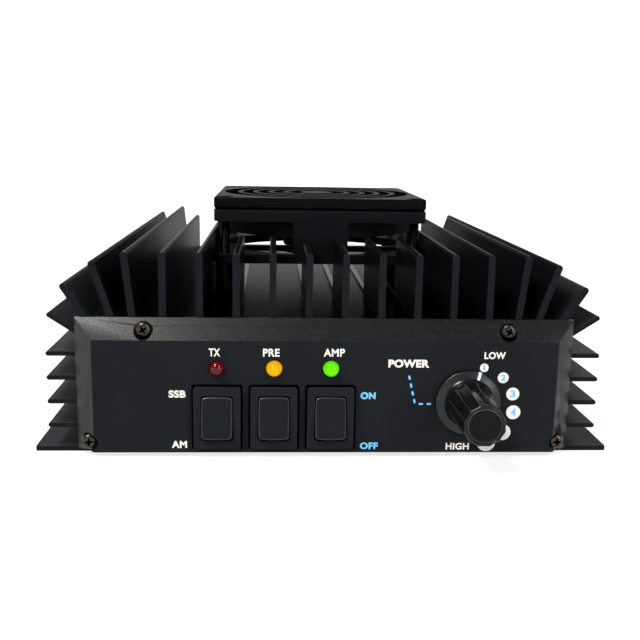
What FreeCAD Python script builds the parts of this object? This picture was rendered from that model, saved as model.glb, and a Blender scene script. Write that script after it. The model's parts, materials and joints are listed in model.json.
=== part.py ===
"""HF linear amplifier: finned aluminium case, fan, rocker switches, power knob and the RF deck inside.

Millimetres. X runs to the right of the front panel, Y to the rear, Z up. The origin is the middle of
the underside. Every size below is a cell of the sheet, and each feature is bound to those cells.
"""
import FreeCAD
import Part
import Sketcher
import math
import os

Vector = FreeCAD.Vector
Rotation = FreeCAD.Rotation
Placement = FreeCAD.Placement

SIZES = {
    # extruded case
    "body_len": 190.0,
    "body_half": 79.5,
    "body_top": 44.6,
    "roof_thk": 5.0,
    "wall_thk": 4.0,
    "corner_rad": 6.0,
    "fin_thk": 2.2,
    "fin_pitch": 11.8,
    "fin_count": 10,
    "fin_tall": 21.4,
    "fin_root": 1.0,
    "lean1_in": 16.9,
    "lean1_down": 1.6,
    "lean1_angle": 6.5,
    "lean1_len": 23.1,
    "lean2_in": 10.5,
    "lean2_down": 1.6,
    "lean2_angle": 18.3,
    "lean2_len": 21.1,
    "lean3_in": 3.5,
    "lean3_down": 2.9,
    "lean3_angle": 32.8,
    "lean3_len": 16.6,
    "lean4_in": 1.2,
    "lean4_down": 6.1,
    "lean4_angle": 56.8,
    "lean4_len": 13.7,
    "side_fin_thk": 1.6,
    "side_fin_top": 32.9,
    "side_fin_pitch": 8.0,
    "side_fin_count": 4,
    "side_fin_len": 12.2,
    "flange_out": 15.5,
    "flange_thk": 1.7,
    "ledge_wide": 8.0,
    "ledge_tall": 6.0,
    # milled bay for the fan, and the cleared deck behind it
    "bay_front": 50.5,
    "deck_gap": 8.0,
    "deck_left_in": 20.5,
    "deck_right_in": 9.2,
    "stub_tall": 0.4,
    # end panels
    "panel_over": 1.5,
    "panel_low": 1.5,
    "panel_rise": 0.5,
    "panel_deep": 6.0,
    "panel_rim": 0.8,
    "bevel_side": 6.0,
    "bevel_up": 6.4,
    "panel_skin": 2.0,
    "end_screw_x": 58.8,
    "end_screw_low": 4.5,
    "end_screw_in": 0.6,
    "end_screw_drop": 0.4,
    "seat_deep": 2.6,
    "screw_rad": 1.25,
    "screw_head_rad": 2.75,
    "screw_head_tall": 2.3,
    "screw_sink_gap": 0.35,
    "screw_slot_deep": 1.2,
    "screw_len": 9.0,
    "screw_gap": 0.2,
    "pilot_rad": 1.05,
    # bottom cover
    "cover_thk": 1.5,
    "cover_gap": 0.25,
    "cover_screw_y": 78.0,
    "cover_head_rad": 2.4,
    # fan
    "fan_size": 80.0,
    "fan_gap": 0.2,
    "fan_tall": 20.0,
    "fan_flange": 4.4,
    "fan_foot": 3.4,
    "fan_corner": 4.0,
    "fan_hole_inset": 4.25,
    "fan_duct_rim": 0.8,
    "fan_bore_rim": 2.0,
    "fan_lift": 11.0,
    "fan_window": 6.4,
    "fan_block_wide": 20.4,
    "fan_motor_rad": 13.0,
    "fan_base_thk": 2.2,
    "fan_strut_wide": 5.0,
    "spacer_rad": 3.6,
    "fan_screw_rad": 1.9,
    "fan_screw_bite": 3.5,
    "fan_head_rad": 3.2,
    "fan_head_tall": 2.2,
    "hub_rad": 13.5,
    "hub_skin": 1.5,
    "hub_tall": 14.0,
    "blade_gap": 1.0,
    "blade_tall": 7.0,
    "blade_lift": 0.2,
    "blade_chord": 15.0,
    "blade_thk": 1.4,
    "blade_count": 7,
    "fan_shaft_rad": 1.5,
    "fan_boss_rad": 4.0,
    "run_gap": 0.05,
    "stator_rad": 9.6,
    "stator_tall": 8.0,
    "magnet_thk": 1.6,
    "guard_thk": 4.5,
    "guard_round": 0.7,
    "guard_bar": 2.0,
    "guard_rim": 2.4,
    "guard_ring_count": 5,
    "guard_eye_rad": 6.5,
    "guard_spokes": 6,
    "guard_spoke": 1.2,
    "guard_spoke_low": 0.8,
    # rocker switches
    "switch_first": -35.4,
    "switch_pitch": 18.27,
    "switch_z": 13.45,
    "bezel_wide": 15.1,
    "bezel_tall": 20.5,
    "bezel_thk": 1.8,
    "groove_wide": 0.65,
    "groove_deep": 1.0,
    "switch_wide": 13.0,
    "switch_tall": 19.2,
    "switch_deep": 14.0,
    "switch_slack": 0.15,
    "rocker_wide": 10.0,
    "rocker_tall": 14.0,
    "rocker_gap": 0.15,
    "rocker_bow": 0.16,
    "rocker_arch": 0.35,
    "rocker_corner": 0.9,
    "rocker_proud": 1.3,
    "rocker_valley": 0.5,
    "rocker_angle": 9.0,
    "rocker_sunk": 1.6,
    "rocker_deep": 4.0,
    "rocker_room": 7.0,
    "rocker_round": 0.7,
    "rocker_pin_rad": 1.0,
    "rocker_pin_out": 0.9,
    "lug_wide": 4.8,
    "lug_thk": 0.8,
    "lug_len": 7.0,
    "lug_step": 6.4,
    # power selector
    "knob_x": 45.8,
    "knob_z": 18.9,
    "skirt_rad": 10.7,
    "skirt_thk": 2.4,
    "skirt_lift": 0.6,
    "grip_base_rad": 7.3,
    "grip_end_rad": 6.6,
    "grip_len": 25.4,
    "flute_count": 12,
    "flute_rad": 2.2,
    "flute_bite": 0.55,
    "cap_rad": 5.5,
    "cap_thk": 1.2,
    "recess_rad": 6.2,
    "recess_deep": 4.6,
    "bush_rad": 3.5,
    "bush_out": 4.2,
    "shaft_rad": 3.0,
    "nut_across": 10.0,
    "nut_thk": 2.0,
    "collet_rad": 4.6,
    "rotary_rad": 12.5,
    "rotary_deep": 12.0,
    "wafer_gap": 0.5,
    # lamps
    "lamp_z": 29.7,
    "lamp_rad": 2.5,
    "lamp_out": 2.6,
    "lamp_flange_rad": 2.9,
    "lamp_flange_thk": 1.0,
    "lamp_gap": 0.1,
    "lamp_board_gap": 5.0,
    "lamp_board_tall": 11.0,
    "board_thk": 1.6,
    # RF deck
    "deck_board_wide": 136.0,
    "deck_board_len": 150.0,
    "deck_board_back": 4.0,
    "pillar_tall": 8.0,
    "pillar_rad": 3.2,
    "deck_pillar_x": 60.0,
    "deck_pillar_y": 66.0,
    "small_screw_rad": 1.4,
    "small_head_rad": 2.7,
    "small_head_tall": 1.8,
    "small_screw_bite": 5.0,
    "rf_wide": 24.0,
    "rf_long": 12.5,
    "rf_flange_thk": 3.0,
    "rf_cap_thk": 3.4,
    "rf_pitch": 34.0,
    "rf_gap": 0.8,
    "lead_thk": 0.2,
    "out_core_wide": 34.0,
    "out_core_long": 28.0,
    "out_core_tall": 16.0,
    "out_bore_rad": 4.6,
    "in_core_wide": 18.0,
    "in_core_long": 14.0,
    "in_core_tall": 9.0,
    "in_bore_rad": 2.4,
    "tube_gap": 0.05,
    "plate_thk": 1.2,
    "relay_x": 50.0,
    "relay_wide": 16.0,
    "relay_long": 28.0,
    "relay_tall": 15.0,
    "coil_rad": 6.0,
    "coil_wire": 0.7,
    "coil_turns": 6,
    "cap_can_rad": 6.3,
    "cap_can_tall": 17.0,
    "choke_rad": 11.0,
    "choke_bore": 5.5,
    "choke_tall": 9.0,
    "fuse_wide": 19.0,
    "fuse_thk": 5.0,
    "fuse_tall": 16.0,
    "fuse_pitch": 10.0,
    "fuse_seat_tall": 8.0,
    "part_gap": 4.0,
    # rear connectors
    "socket_x": 30.0,
    "socket_z": 24.0,
    "socket_side": 25.4,
    "socket_plate": 2.0,
    "socket_rad": 7.9,
    "socket_reach": 15.5,
    "socket_core_rad": 5.6,
    "socket_neck_rad": 6.8,
    "socket_pin_rad": 2.9,
    "socket_bore_rad": 2.0,
    "socket_hole_pitch": 18.2,
    "socket_tail": 5.0,
    "socket_sunk": 6.0,
    "socket_well": 12.0,
    "socket_screw_rad": 1.45,
    "lead_x": -56.0,
    "lead_rad": 4.0,
    "grommet_rad": 7.0,
    "grommet_lip": 9.0,
    "grommet_lip_thk": 2.5,
}

doc = FreeCAD.newDocument("linear_amplifier")
sheet = doc.addObject("Spreadsheet::Sheet", "sizes")


# ---------------------------------------------------------------- sizes as numbers and as expressions
def number(size):
    """The plain number of a size, used where something is first drawn."""
    return size.value if isinstance(size, Size) else float(size)


def words(size):
    """The same size as the text of an expression."""
    return size.text if isinstance(size, Size) else repr(float(size))


class Size:
    """A cell of the sheet, or a sum worked out from cells."""

    def __init__(self, value, text):
        self.value = value
        self.text = text

    def __add__(self, other):
        return Size(self.value + number(other), "(%s + %s)" % (self.text, words(other)))

    def __radd__(self, other):
        return Size(number(other) + self.value, "(%s + %s)" % (words(other), self.text))

    def __sub__(self, other):
        return Size(self.value - number(other), "(%s - %s)" % (self.text, words(other)))

    def __rsub__(self, other):
        return Size(number(other) - self.value, "(%s - %s)" % (words(other), self.text))

    def __mul__(self, other):
        return Size(self.value * number(other), "(%s * %s)" % (self.text, words(other)))

    __rmul__ = __mul__

    def __truediv__(self, other):
        return Size(self.value / number(other), "(%s / %s)" % (self.text, words(other)))

    def __neg__(self):
        return Size(-self.value, "(0 - %s)" % self.text)


class Cells:
    """Reads the sheet's cells by alias: d.body_len is a Size."""

    def __init__(self, table):
        for row, (alias, value) in enumerate(table.items(), start=1):
            sheet.set("A%d" % row, alias)
            sheet.set("B%d" % row, str(value))
            sheet.setAlias("B%d" % row, alias)
            setattr(self, alias, Size(float(value), "sizes." + alias))


def sine(angle):
    """The sine of an angle in degrees."""
    return Size(math.sin(math.radians(number(angle))), "sin(%s * 1deg)" % words(angle))


def cosine(angle):
    """The cosine of an angle in degrees."""
    return Size(math.cos(math.radians(number(angle))), "cos(%s * 1deg)" % words(angle))


def length_of(across, up):
    """The long side of a right triangle."""
    value = math.hypot(number(across), number(up))
    return Size(value, "sqrt(%s ^ 2 + %s ^ 2)" % (words(across), words(up)))


d = Cells(SIZES)
doc.recompute()


def bind(item, prop, size):
    """Bind one property of an object to a size."""
    if isinstance(size, Size):
        item.setExpression(prop, size.text)


# ---------------------------------------------------------------- Part primitives
def place(item, at, axis=(0, 0, 1), angle=0.0):
    """Put a primitive at a point, with its own Z turned by angle about axis."""
    point = Vector(*[number(size) for size in at])
    item.Placement = Placement(point, Rotation(Vector(*axis), number(angle)))
    for letter, size in zip("xyz", at):
        bind(item, "Placement.Base." + letter, size)
    bind(item, "Placement.Rotation.Angle", angle)
    return item


def box(name, centre, size):
    """A box around its centre."""
    item = doc.addObject("Part::Box", name)
    for prop, length in zip(("Length", "Width", "Height"), size):
        setattr(item, prop, number(length))
        bind(item, prop, length)
    return place(item, [middle - length / 2 for middle, length in zip(centre, size)])


def rod(name, centre, radius, length, along="Z"):
    """A cylinder around its centre, lying along X, Y or Z."""
    item = doc.addObject("Part::Cylinder", name)
    item.Radius = number(radius)
    item.Height = number(length)
    bind(item, "Radius", radius)
    bind(item, "Height", length)
    turn = {"X": ((0, 1, 0), 90.0), "Y": ((-1, 0, 0), 90.0), "Z": ((0, 0, 1), 0.0)}[along]
    start = [middle - length / 2 if letter == along else middle for letter, middle in zip("XYZ", centre)]
    return place(item, start, *turn)


def cone(name, base, radius, end_radius, length, along="Z"):
    """A cone from its base point along an axis."""
    item = doc.addObject("Part::Cone", name)
    for prop, size in (("Radius1", radius), ("Radius2", end_radius), ("Height", length)):
        setattr(item, prop, number(size))
        bind(item, prop, size)
    turn = {"Y": ((-1, 0, 0), 90.0), "-Y": ((1, 0, 0), 90.0), "Z": ((0, 0, 1), 0.0)}[along]
    return place(item, base, *turn)


def ball(name, centre, radius):
    """A sphere around its centre."""
    item = doc.addObject("Part::Sphere", name)
    item.Radius = number(radius)
    bind(item, "Radius", radius)
    return place(item, centre)


def hexagon(name, centre, across, length, along="Z"):
    """A hexagonal prism around its centre, by its size across the flats."""
    item = doc.addObject("Part::Prism", name)
    item.Polygon = 6
    item.Circumradius = number(across) / math.sqrt(3.0)
    item.Height = number(length)
    bind(item, "Circumradius", across / math.sqrt(3.0))
    bind(item, "Height", length)
    turn = {"Y": ((-1, 0, 0), 90.0), "Z": ((0, 0, 1), 0.0)}[along]
    start = [middle - length / 2 if letter == along else middle for letter, middle in zip("XYZ", centre)]
    return place(item, start, *turn)


def fuse(name, pieces):
    """One solid from several that overlap."""
    item = doc.addObject("Part::MultiFuse", name)
    item.Shapes = pieces
    return item


def cut(name, base, tools):
    """A solid with every tool taken out of it."""
    item = doc.addObject("Part::Cut", name)
    item.Base = base
    item.Tool = tools[0] if len(tools) == 1 else fuse(name + "_tools", tools)
    return item


def group(name, pieces):
    """Separate solids that share one node."""
    item = doc.addObject("Part::Compound", name)
    item.Links = pieces
    return item


def tube(name, centre, radius, bore, length, along="Z"):
    """A hollow cylinder around its centre."""
    outer = rod(name + "_outside", centre, radius, length, along)
    return cut(name, outer, [rod(name + "_bore", centre, bore, length + 2, along)])


# ---------------------------------------------------------------- PartDesign features
def new_body(name):
    """An empty body whose label is its node name."""
    body = doc.addObject("PartDesign::Body", name)
    body.Label = name
    return body


def plane_of(body, role):
    """The body's own origin plane or axis with this role."""
    return [item for item in body.Origin.OriginFeatures if item.Role == role][0]


def lift(plane, level):
    """The attachment offset that puts a sketch at this level along X, Y or Z."""
    return -level if plane == "XZ" else level


class Outline:
    """Collects a sketch's geometry, rules and bound rules, so that it is solved once."""

    def __init__(self):
        self.lines = []
        self.rules = []
        self.bound = []

    def add(self, shape):
        """Adds one line, arc or circle and returns its index."""
        self.lines.append(shape)
        return len(self.lines) - 1

    def join(self, kind, *ends):
        """Ties two ends together."""
        self.rules.append(Sketcher.Constraint(kind, *ends))

    def measure(self, kind, *where):
        """Adds a rule whose last entry is a size."""
        size = where[-1]
        self.bound.append((len(self.rules), size))
        self.rules.append(Sketcher.Constraint(kind, *where[:-1], number(size)))

    def hold(self, index, end, at):
        """Holds a point at bound distances from the sketch's origin."""
        self.measure("DistanceX", -1, 1, index, end, at[0])
        self.measure("DistanceY", -1, 1, index, end, at[1])


def sketch_on(body, plane, level, draw):
    """A sketch parallel to one of the origin planes, drawn by a function."""
    sketch = body.newObject("Sketcher::SketchObject", body.Name + "_sketch")
    sketch.AttachmentSupport = (plane_of(body, plane + "_Plane"), [""])
    sketch.MapMode = "FlatFace"
    offset = lift(plane, level)
    sketch.AttachmentOffset = Placement(Vector(0, 0, number(offset)), Rotation())
    bind(sketch, "AttachmentOffset.Base.z", offset)
    outline = Outline()
    draw(outline)
    sketch.addGeometry(outline.lines, False)
    sketch.addConstraint(outline.rules)
    for index, size in outline.bound:
        bind(sketch, "Constraints[%d]" % index, size)
    sketch.Visibility = False
    return sketch


def polygon(points):
    """Draws a closed outline through bound corners."""

    def draw(outline):
        flat = [Vector(number(x), number(y), 0) for x, y in points]
        count = len(points)
        sides = [outline.add(Part.LineSegment(flat[n], flat[(n + 1) % count])) for n in range(count)]
        for index, side in enumerate(sides):
            outline.join("Coincident", side, 2, sides[(index + 1) % count], 1)
            outline.hold(side, 1, points[index])

    return draw


def rect(x_low, y_low, x_high, y_high):
    """Draws a rectangle between two bound corners."""
    return polygon([(x_low, y_low), (x_high, y_low), (x_high, y_high), (x_low, y_high)])


def circle(at, radius):
    """Draws a bound circle."""

    def draw(outline):
        middle = Vector(number(at[0]), number(at[1]), 0)
        index = outline.add(Part.Circle(middle, Vector(0, 0, 1), number(radius)))
        outline.hold(index, 3, at)
        outline.measure("Radius", index, radius)

    return draw


def several(*draws):
    """Draws several outlines in one sketch."""

    def draw(outline):
        for each in draws:
            each(outline)

    return draw


def finger(foot, side, angle, thickness, length):
    """Draws a straight fin from its foot, leaning to one side by an angle, with a fully rounded tip."""
    across = (cosine(angle) * thickness / 2, sine(angle) * thickness / 2 * -side)
    reach = length - thickness / 2
    crown = (foot[0] + sine(angle) * reach * side, foot[1] + cosine(angle) * reach)
    right = (foot[0] + across[0], foot[1] + across[1])
    left = (foot[0] - across[0], foot[1] - across[1])

    def draw(outline):
        offset = Vector(number(across[0]), number(across[1]), 0)
        top = Vector(number(crown[0]), number(crown[1]), 0)
        low = Vector(number(foot[0]), number(foot[1]), 0)
        start = math.atan2(offset.y, offset.x)
        arc = Part.Circle(top, Vector(0, 0, 1), offset.Length)
        base = outline.add(Part.LineSegment(low - offset, low + offset))
        rise = outline.add(Part.LineSegment(low + offset, top + offset))
        tip = outline.add(Part.ArcOfCircle(arc, start, start + math.pi))
        fall = outline.add(Part.LineSegment(top - offset, low - offset))
        outline.join("Coincident", base, 2, rise, 1)
        outline.join("Tangent", rise, 2, tip, 1)
        outline.join("Tangent", tip, 2, fall, 1)
        outline.join("Coincident", fall, 2, base, 1)
        outline.hold(base, 1, left)
        outline.hold(base, 2, right)
        outline.hold(tip, 3, crown)

    return draw


def pad(body, plane, low, high, draw):
    """Adds material between two levels."""
    start = high if plane == "XZ" else low
    sketch = sketch_on(body, plane, start, draw)
    feature = body.newObject("PartDesign::Pad", body.Name + "_pad")
    feature.Profile = sketch
    feature.Length = number(high - low)
    bind(feature, "Length", high - low)
    return feature


def pocket(body, plane, low, high, draw):
    """Takes material away between two levels."""
    start = low if plane == "XZ" else high
    sketch = sketch_on(body, plane, start, draw)
    feature = body.newObject("PartDesign::Pocket", body.Name + "_pocket")
    feature.Profile = sketch
    feature.Length = number(high - low)
    bind(feature, "Length", high - low)
    return feature


def loft(body, plane, sections):
    """Adds material between outlines at several levels."""
    sketches = [sketch_on(body, plane, level, draw) for level, draw in sections]
    feature = body.newObject("PartDesign::AdditiveLoft", body.Name + "_loft")
    feature.Profile = sketches[0]
    feature.Sections = sketches[1:]
    feature.Ruled = True
    return feature


def turned(body, plane, axis, draw):
    """Adds a solid of revolution."""
    feature = body.newObject("PartDesign::Revolution", body.Name + "_turned")
    feature.Profile = sketch_on(body, plane, 0, draw)
    feature.ReferenceAxis = (plane_of(body, axis + "_Axis"), [""])
    feature.Angle = 360.0
    return feature


def round_trip(body, feature, axis, count):
    """Repeats a feature evenly around one of the body's axes."""
    pattern = body.newObject("PartDesign::PolarPattern", body.Name + "_ring")
    pattern.Originals = [feature]
    pattern.Axis = (plane_of(body, axis + "_Axis"), [""])
    pattern.Angle = 360.0
    pattern.Occurrences = int(number(count))
    bind(pattern, "Occurrences", count)
    body.Tip = pattern
    return pattern


def soften(body, radius, wanted):
    """Rounds every edge of the body so far that a test picks out."""
    doc.recompute()
    base = body.Tip
    names = ["Edge%d" % (n + 1) for n, edge in enumerate(base.Shape.Edges) if wanted(edge)]
    feature = body.newObject("PartDesign::Fillet", body.Name + "_round")
    feature.Base = (base, names)
    feature.Radius = number(radius)
    bind(feature, "Radius", radius)
    return feature


def runs_along(edge, direction):
    """True for a straight edge parallel to a direction."""
    if edge.Curve.TypeId != "Part::GeomLine":
        return False
    way = edge.Vertexes[-1].Point - edge.Vertexes[0].Point
    return way.cross(Vector(*direction)).Length < 1e-6 * max(way.Length, 1e-9)


def near(edge, **where):
    """True where the middle of an edge has these coordinates."""
    middle = edge.CenterOfMass
    return all(abs(getattr(middle, letter) - number(size)) < 0.01 for letter, size in where.items())


# ---------------------------------------------------------------- levels that several pieces share
front = -d.body_len / 2
rear = d.body_len / 2
roof = d.body_top - d.roof_thk
inner = d.body_half - d.wall_thk
panel_half = d.body_half + d.panel_over
panel_top = d.body_top + d.panel_rise
flange_half = d.body_half + d.flange_out
fan_pitch = d.fan_size - d.fan_hole_inset * 2
duct_rad = d.fan_size / 2 - d.fan_duct_rim
bore_rad = d.fan_size / 2 - d.fan_bore_rim
guard_open_rad = d.fan_size / 2 - d.guard_rim
ring_step = (guard_open_rad - d.guard_eye_rad) / d.guard_ring_count
face = front - d.panel_deep
back_face = rear + d.panel_deep
bay_low = front + d.bay_front
fan_mid = bay_low + d.fan_gap + d.fan_size / 2
fan_low = d.body_top + d.fan_lift
fan_top = fan_low + d.fan_tall
deck_low = fan_mid + d.fan_size / 2 + d.deck_gap
end_screw_top = d.body_top - d.roof_thk / 2 - d.end_screw_drop
end_screw_side = d.body_half - d.wall_thk / 2 - d.end_screw_in
cover_screw_x = inner - d.ledge_wide / 2
END_SCREWS = [
    (-d.end_screw_x, end_screw_top),
    (d.end_screw_x, end_screw_top),
    (-end_screw_side, d.end_screw_low),
    (end_screw_side, d.end_screw_low),
]
COVER_SCREWS = [(side * cover_screw_x, row * d.cover_screw_y) for side in (-1, 1) for row in (-1, 0, 1)]
FAN_CORNERS = [
    (side * fan_pitch / 2, fan_mid + end * fan_pitch / 2) for side in (-1, 1) for end in (-1, 1)
]
SWITCHES = ("mode", "preamp", "amp")
FINS_PER_SKETCH = 5
fan_boss_top = d.fan_base_thk + d.stator_tall + 2.0
rocker_axis = face - d.bezel_thk + d.rocker_sunk
rocker_swing = length_of(d.rocker_tall / 2, d.rocker_sunk + d.rocker_proud)
rocker_rise = (d.rocker_sunk + d.rocker_proud) * sine(d.rocker_angle)
rocker_press = d.rocker_tall / 2 * cosine(d.rocker_angle) + rocker_rise
knob_back = face - d.skirt_lift
skirt_front = knob_back - d.skirt_thk
knob_end = knob_back - d.grip_len
board_low = roof - d.pillar_tall - d.board_thk
fuse_half = d.fuse_wide / 2 + 1
board_rear = rear - d.deck_board_back
board_mid_y = board_rear - d.deck_board_len / 2
roof_bite = d.roof_thk - 2.0
in_core_y = board_mid_y - d.deck_board_len * 0.4
choke_y = board_rear - d.choke_rad * 1.2
fuse_y = choke_y - d.choke_rad - d.part_gap - fuse_half
out_core_y = fuse_y - fuse_half - d.part_gap - d.out_core_long / 2 - d.plate_thk
PILLARS = [(x * d.deck_pillar_x, board_mid_y + y * d.deck_pillar_y) for x in (-1, 1) for y in (-1, 1)]
TRANSISTORS = [step * d.rf_pitch for step in (-1.5, -0.5, 0.5, 1.5)]


# ---------------------------------------------------------------- case
def make_heatsink():
    """The extruded case: a channel open below, with fins all round and the bay milled for the fan."""
    body = new_body("heatsink")
    half = d.body_half
    channel = polygon(
        [
            (-half, 0),
            (-half, d.body_top),
            (half, d.body_top),
            (half, 0),
            (inner, 0),
            (inner, roof),
            (-inner, roof),
            (-inner, 0),
        ]
    )
    pad(body, "XZ", front, rear, channel)
    soften(body, d.corner_rad, lambda edge: runs_along(edge, (0, 1, 0)) and near(edge, z=d.body_top))
    first = -(d.fin_count - 1) * d.fin_pitch / 2
    fins = []
    for index in range(int(SIZES["fin_count"])):
        foot = (first + index * d.fin_pitch, d.body_top - d.fin_root)
        fins.append(finger(foot, 1, 0.0, d.fin_thk, d.fin_tall + d.fin_root))
    leaning = [
        (half - d.lean1_in, d.body_top - d.lean1_down, d.lean1_angle, d.fin_thk, d.lean1_len),
        (half - d.lean2_in, d.body_top - d.lean2_down, d.lean2_angle, d.fin_thk, d.lean2_len),
        (half - d.lean3_in, d.body_top - d.lean3_down, d.lean3_angle, d.fin_thk, d.lean3_len),
        (half - d.lean4_in, d.body_top - d.lean4_down, d.lean4_angle, d.side_fin_thk, d.lean4_len),
    ]
    for index in range(int(SIZES["side_fin_count"])):
        level = d.side_fin_top - index * d.side_fin_pitch
        leaning.append((half - d.fin_root, level, 90.0, d.side_fin_thk, d.side_fin_len))
    strips = []
    ledge = d.cover_thk + d.cover_gap
    for side in (-1, 1):
        fins += [finger((side * x, z), side, angle, thk, length) for x, z, angle, thk, length in leaning]
        low, high = sorted((side * (half - d.fin_root), side * flange_half), key=number)
        strips.append(rect(low, 0, high, d.flange_thk))
        low, high = sorted((side * (inner + d.fin_root), side * (inner - d.ledge_wide)), key=number)
        strips.append(rect(low, ledge, high, ledge + d.ledge_tall))
    for start in range(0, len(fins), FINS_PER_SKETCH):
        pad(body, "XZ", front, rear, several(*fins[start:start + FINS_PER_SKETCH]))
    pad(body, "XZ", front, rear, several(*strips))
    above = d.body_top + d.fin_tall * 2
    bay = rect(-d.fan_size / 2 - d.fan_gap, bay_low, d.fan_size / 2 + d.fan_gap, deck_low + 1)
    pocket(body, "XY", d.body_top + d.stub_tall, above, bay)
    deck = rect(d.deck_left_in - half, deck_low, half - d.deck_right_in, rear + 1)
    pocket(body, "XY", d.body_top + d.stub_tall, above, deck)
    for level, end in ((front, 1), (rear, -1)):
        holes = several(*[circle(at, d.pilot_rad) for at in END_SCREWS])
        low, high = sorted((level, level + end * (d.screw_len + 2)), key=number)
        pocket(body, "XZ", low, high, holes)
    fan_holes = several(*[circle(at, d.fan_screw_rad) for at in FAN_CORNERS])
    pocket(body, "XY", d.body_top - d.fan_screw_bite, d.body_top + 1, fan_holes)
    bolts = [(x + side * d.rf_wide * 0.38, fan_mid) for x in TRANSISTORS for side in (-1, 1)]
    roof_holes = several(*[circle(at, d.small_screw_rad) for at in PILLARS + bolts])
    pocket(body, "XY", roof - 1, roof + roof_bite, roof_holes)
    cover_holes = several(*[circle(at, d.pilot_rad) for at in COVER_SCREWS])
    pocket(body, "XY", 0, d.cover_thk + d.ledge_tall - 1, cover_holes)
    return body


def make_panel(name, level, way, openings):
    """An end panel: a bevelled cap whose solid rim covers the ends of the extrusion."""
    body = new_body(name)
    edge = level + way * d.panel_rim
    flat = level + way * d.panel_deep
    outer = rect(-panel_half, d.panel_low, panel_half, panel_top)
    narrow = panel_half - d.bevel_side
    raised = rect(-narrow, d.panel_low, narrow, panel_top - d.bevel_up)
    low, high = sorted((level, edge), key=number)
    pad(body, "XZ", low, high, outer)
    loft(body, "XZ", [(edge, outer), (flat, raised)])
    skin = level + way * (d.panel_deep - d.panel_skin)
    low, high = sorted((level, skin), key=number)
    hollow = rect(-inner, d.panel_low + 2, inner, roof)
    pocket(body, "XZ", low, high, hollow)
    low, high = sorted((level - way, flat + way), key=number)
    holes = several(*[circle(at, d.screw_rad + d.screw_gap) for at in END_SCREWS])
    pocket(body, "XZ", low, high, holes)
    low, high = sorted((level + way * d.seat_deep, flat + way), key=number)
    seats = several(*[circle(at, d.screw_head_rad + d.screw_sink_gap) for at in END_SCREWS])
    pocket(body, "XZ", low, high, seats)
    low, high = sorted((level - way, flat + way), key=number)
    pocket(body, "XZ", low, high, several(*openings))
    return body


def make_grooves(body):
    """The shallow groove in the front panel around each switch bezel, which leaves a shadow line."""
    bound = d.groove_wide
    level = face + d.groove_deep
    for index in range(len(SWITCHES)):
        middle = d.switch_first + index * d.switch_pitch
        wide, tall = d.bezel_wide / 2, d.bezel_tall / 2
        across, up = wide + bound, tall + bound
        outer = rect(middle - across, d.switch_z - up, middle + across, d.switch_z + up)
        wide, tall = wide - 0.15, tall - 0.15
        inner_line = rect(middle - wide, d.switch_z - tall, middle + wide, d.switch_z + tall)
        pocket(body, "XZ", face - 1, level, several(outer, inner_line))
    half = number(d.groove_deep) / 2
    depth = number(face) + half
    soften(body, 1.0, lambda edge: runs_along(edge, (0, 1, 0)) and abs(edge.CenterOfMass.y - depth) < 0.01)


def front_openings():
    """The cut-outs for the switches, the lamps and the selector's bush."""
    draws = []
    for index in range(len(SWITCHES)):
        middle = d.switch_first + index * d.switch_pitch
        wide = d.switch_wide / 2 + d.switch_slack
        tall = d.switch_tall / 2 + d.switch_slack
        draws.append(rect(middle - wide, d.switch_z - tall, middle + wide, d.switch_z + tall))
        draws.append(circle((middle, d.lamp_z), d.lamp_rad + d.lamp_gap))
    draws.append(circle((d.knob_x, d.knob_z), d.bush_rad + d.lamp_gap))
    return draws


def socket_centres():
    """Where the two coaxial sockets sit on the rear panel: input on the left, antenna on the right."""
    return {"input": -d.socket_x, "antenna": d.socket_x}


def rear_openings():
    """The holes for both sockets, their screws and the supply lead."""
    draws = [circle((d.lead_x, d.socket_z), d.grommet_rad)]
    half = d.socket_hole_pitch / 2
    for middle in socket_centres().values():
        draws.append(circle((middle, d.socket_z), d.socket_neck_rad + d.lamp_gap))
        for side in (-1, 1):
            for up in (-1, 1):
                at = (middle + side * half, d.socket_z + up * half)
                draws.append(circle(at, d.socket_screw_rad))
    return draws


def make_bottom_cover():
    """The flat sheet that closes the channel from below."""
    body = new_body("bottom_cover")
    wide = inner - d.cover_gap
    deep = rear - d.cover_gap
    pad(body, "XY", 0, d.cover_thk, rect(-wide, -deep, wide, deep))
    holes = several(*[circle(at, d.screw_rad + d.screw_gap) for at in COVER_SCREWS])
    pocket(body, "XY", -d.cover_thk, d.cover_thk + 1, holes)
    return body


def make_cover():
    """The bottom cover with its countersinks."""
    plate = make_bottom_cover()
    plate.Label = "bottom_cover_plate"
    sinks = []
    for index, (x, y) in enumerate(COVER_SCREWS):
        wide = d.cover_head_rad + 0.1
        sinks.append(cone("cover_sink_%d" % index, (x, y, 0), wide, d.screw_rad + 0.1, d.cover_thk))
    cover = cut("bottom_cover_sunk", plate, sinks)
    cover.Label = "bottom_cover"
    return cover


def make_end_screws(name, level, way):
    """Four pan-head screws through an end panel's rim, each with a cross recess."""
    seat = level + way * d.seat_deep
    screws = []
    for index, (x, z) in enumerate(END_SCREWS):
        tag = "%s_%d" % (name, index)
        head_mid = seat + way * d.screw_head_tall / 2
        head = rod(tag + "_head", (x, head_mid, z), d.screw_head_rad, d.screw_head_tall, "Y")
        reach = d.screw_len + d.seat_deep
        shank = rod(tag + "_shank", (x, seat - way * reach / 2, z), d.pilot_rad, reach, "Y")
        top = seat + way * (d.screw_head_tall * 1.5 - d.screw_slot_deep)
        long, thin, deep = d.screw_head_rad * 1.1, d.screw_head_rad * 0.26, d.screw_head_tall
        bars = [
            box(tag + "_slot_a", (x, top, z), (long, deep, thin)),
            box(tag + "_slot_b", (x, top, z), (thin, deep, long)),
        ]
        screws.append(cut(tag, fuse(tag + "_blank", [head, shank]), bars))
    return group(name, screws)


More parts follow.
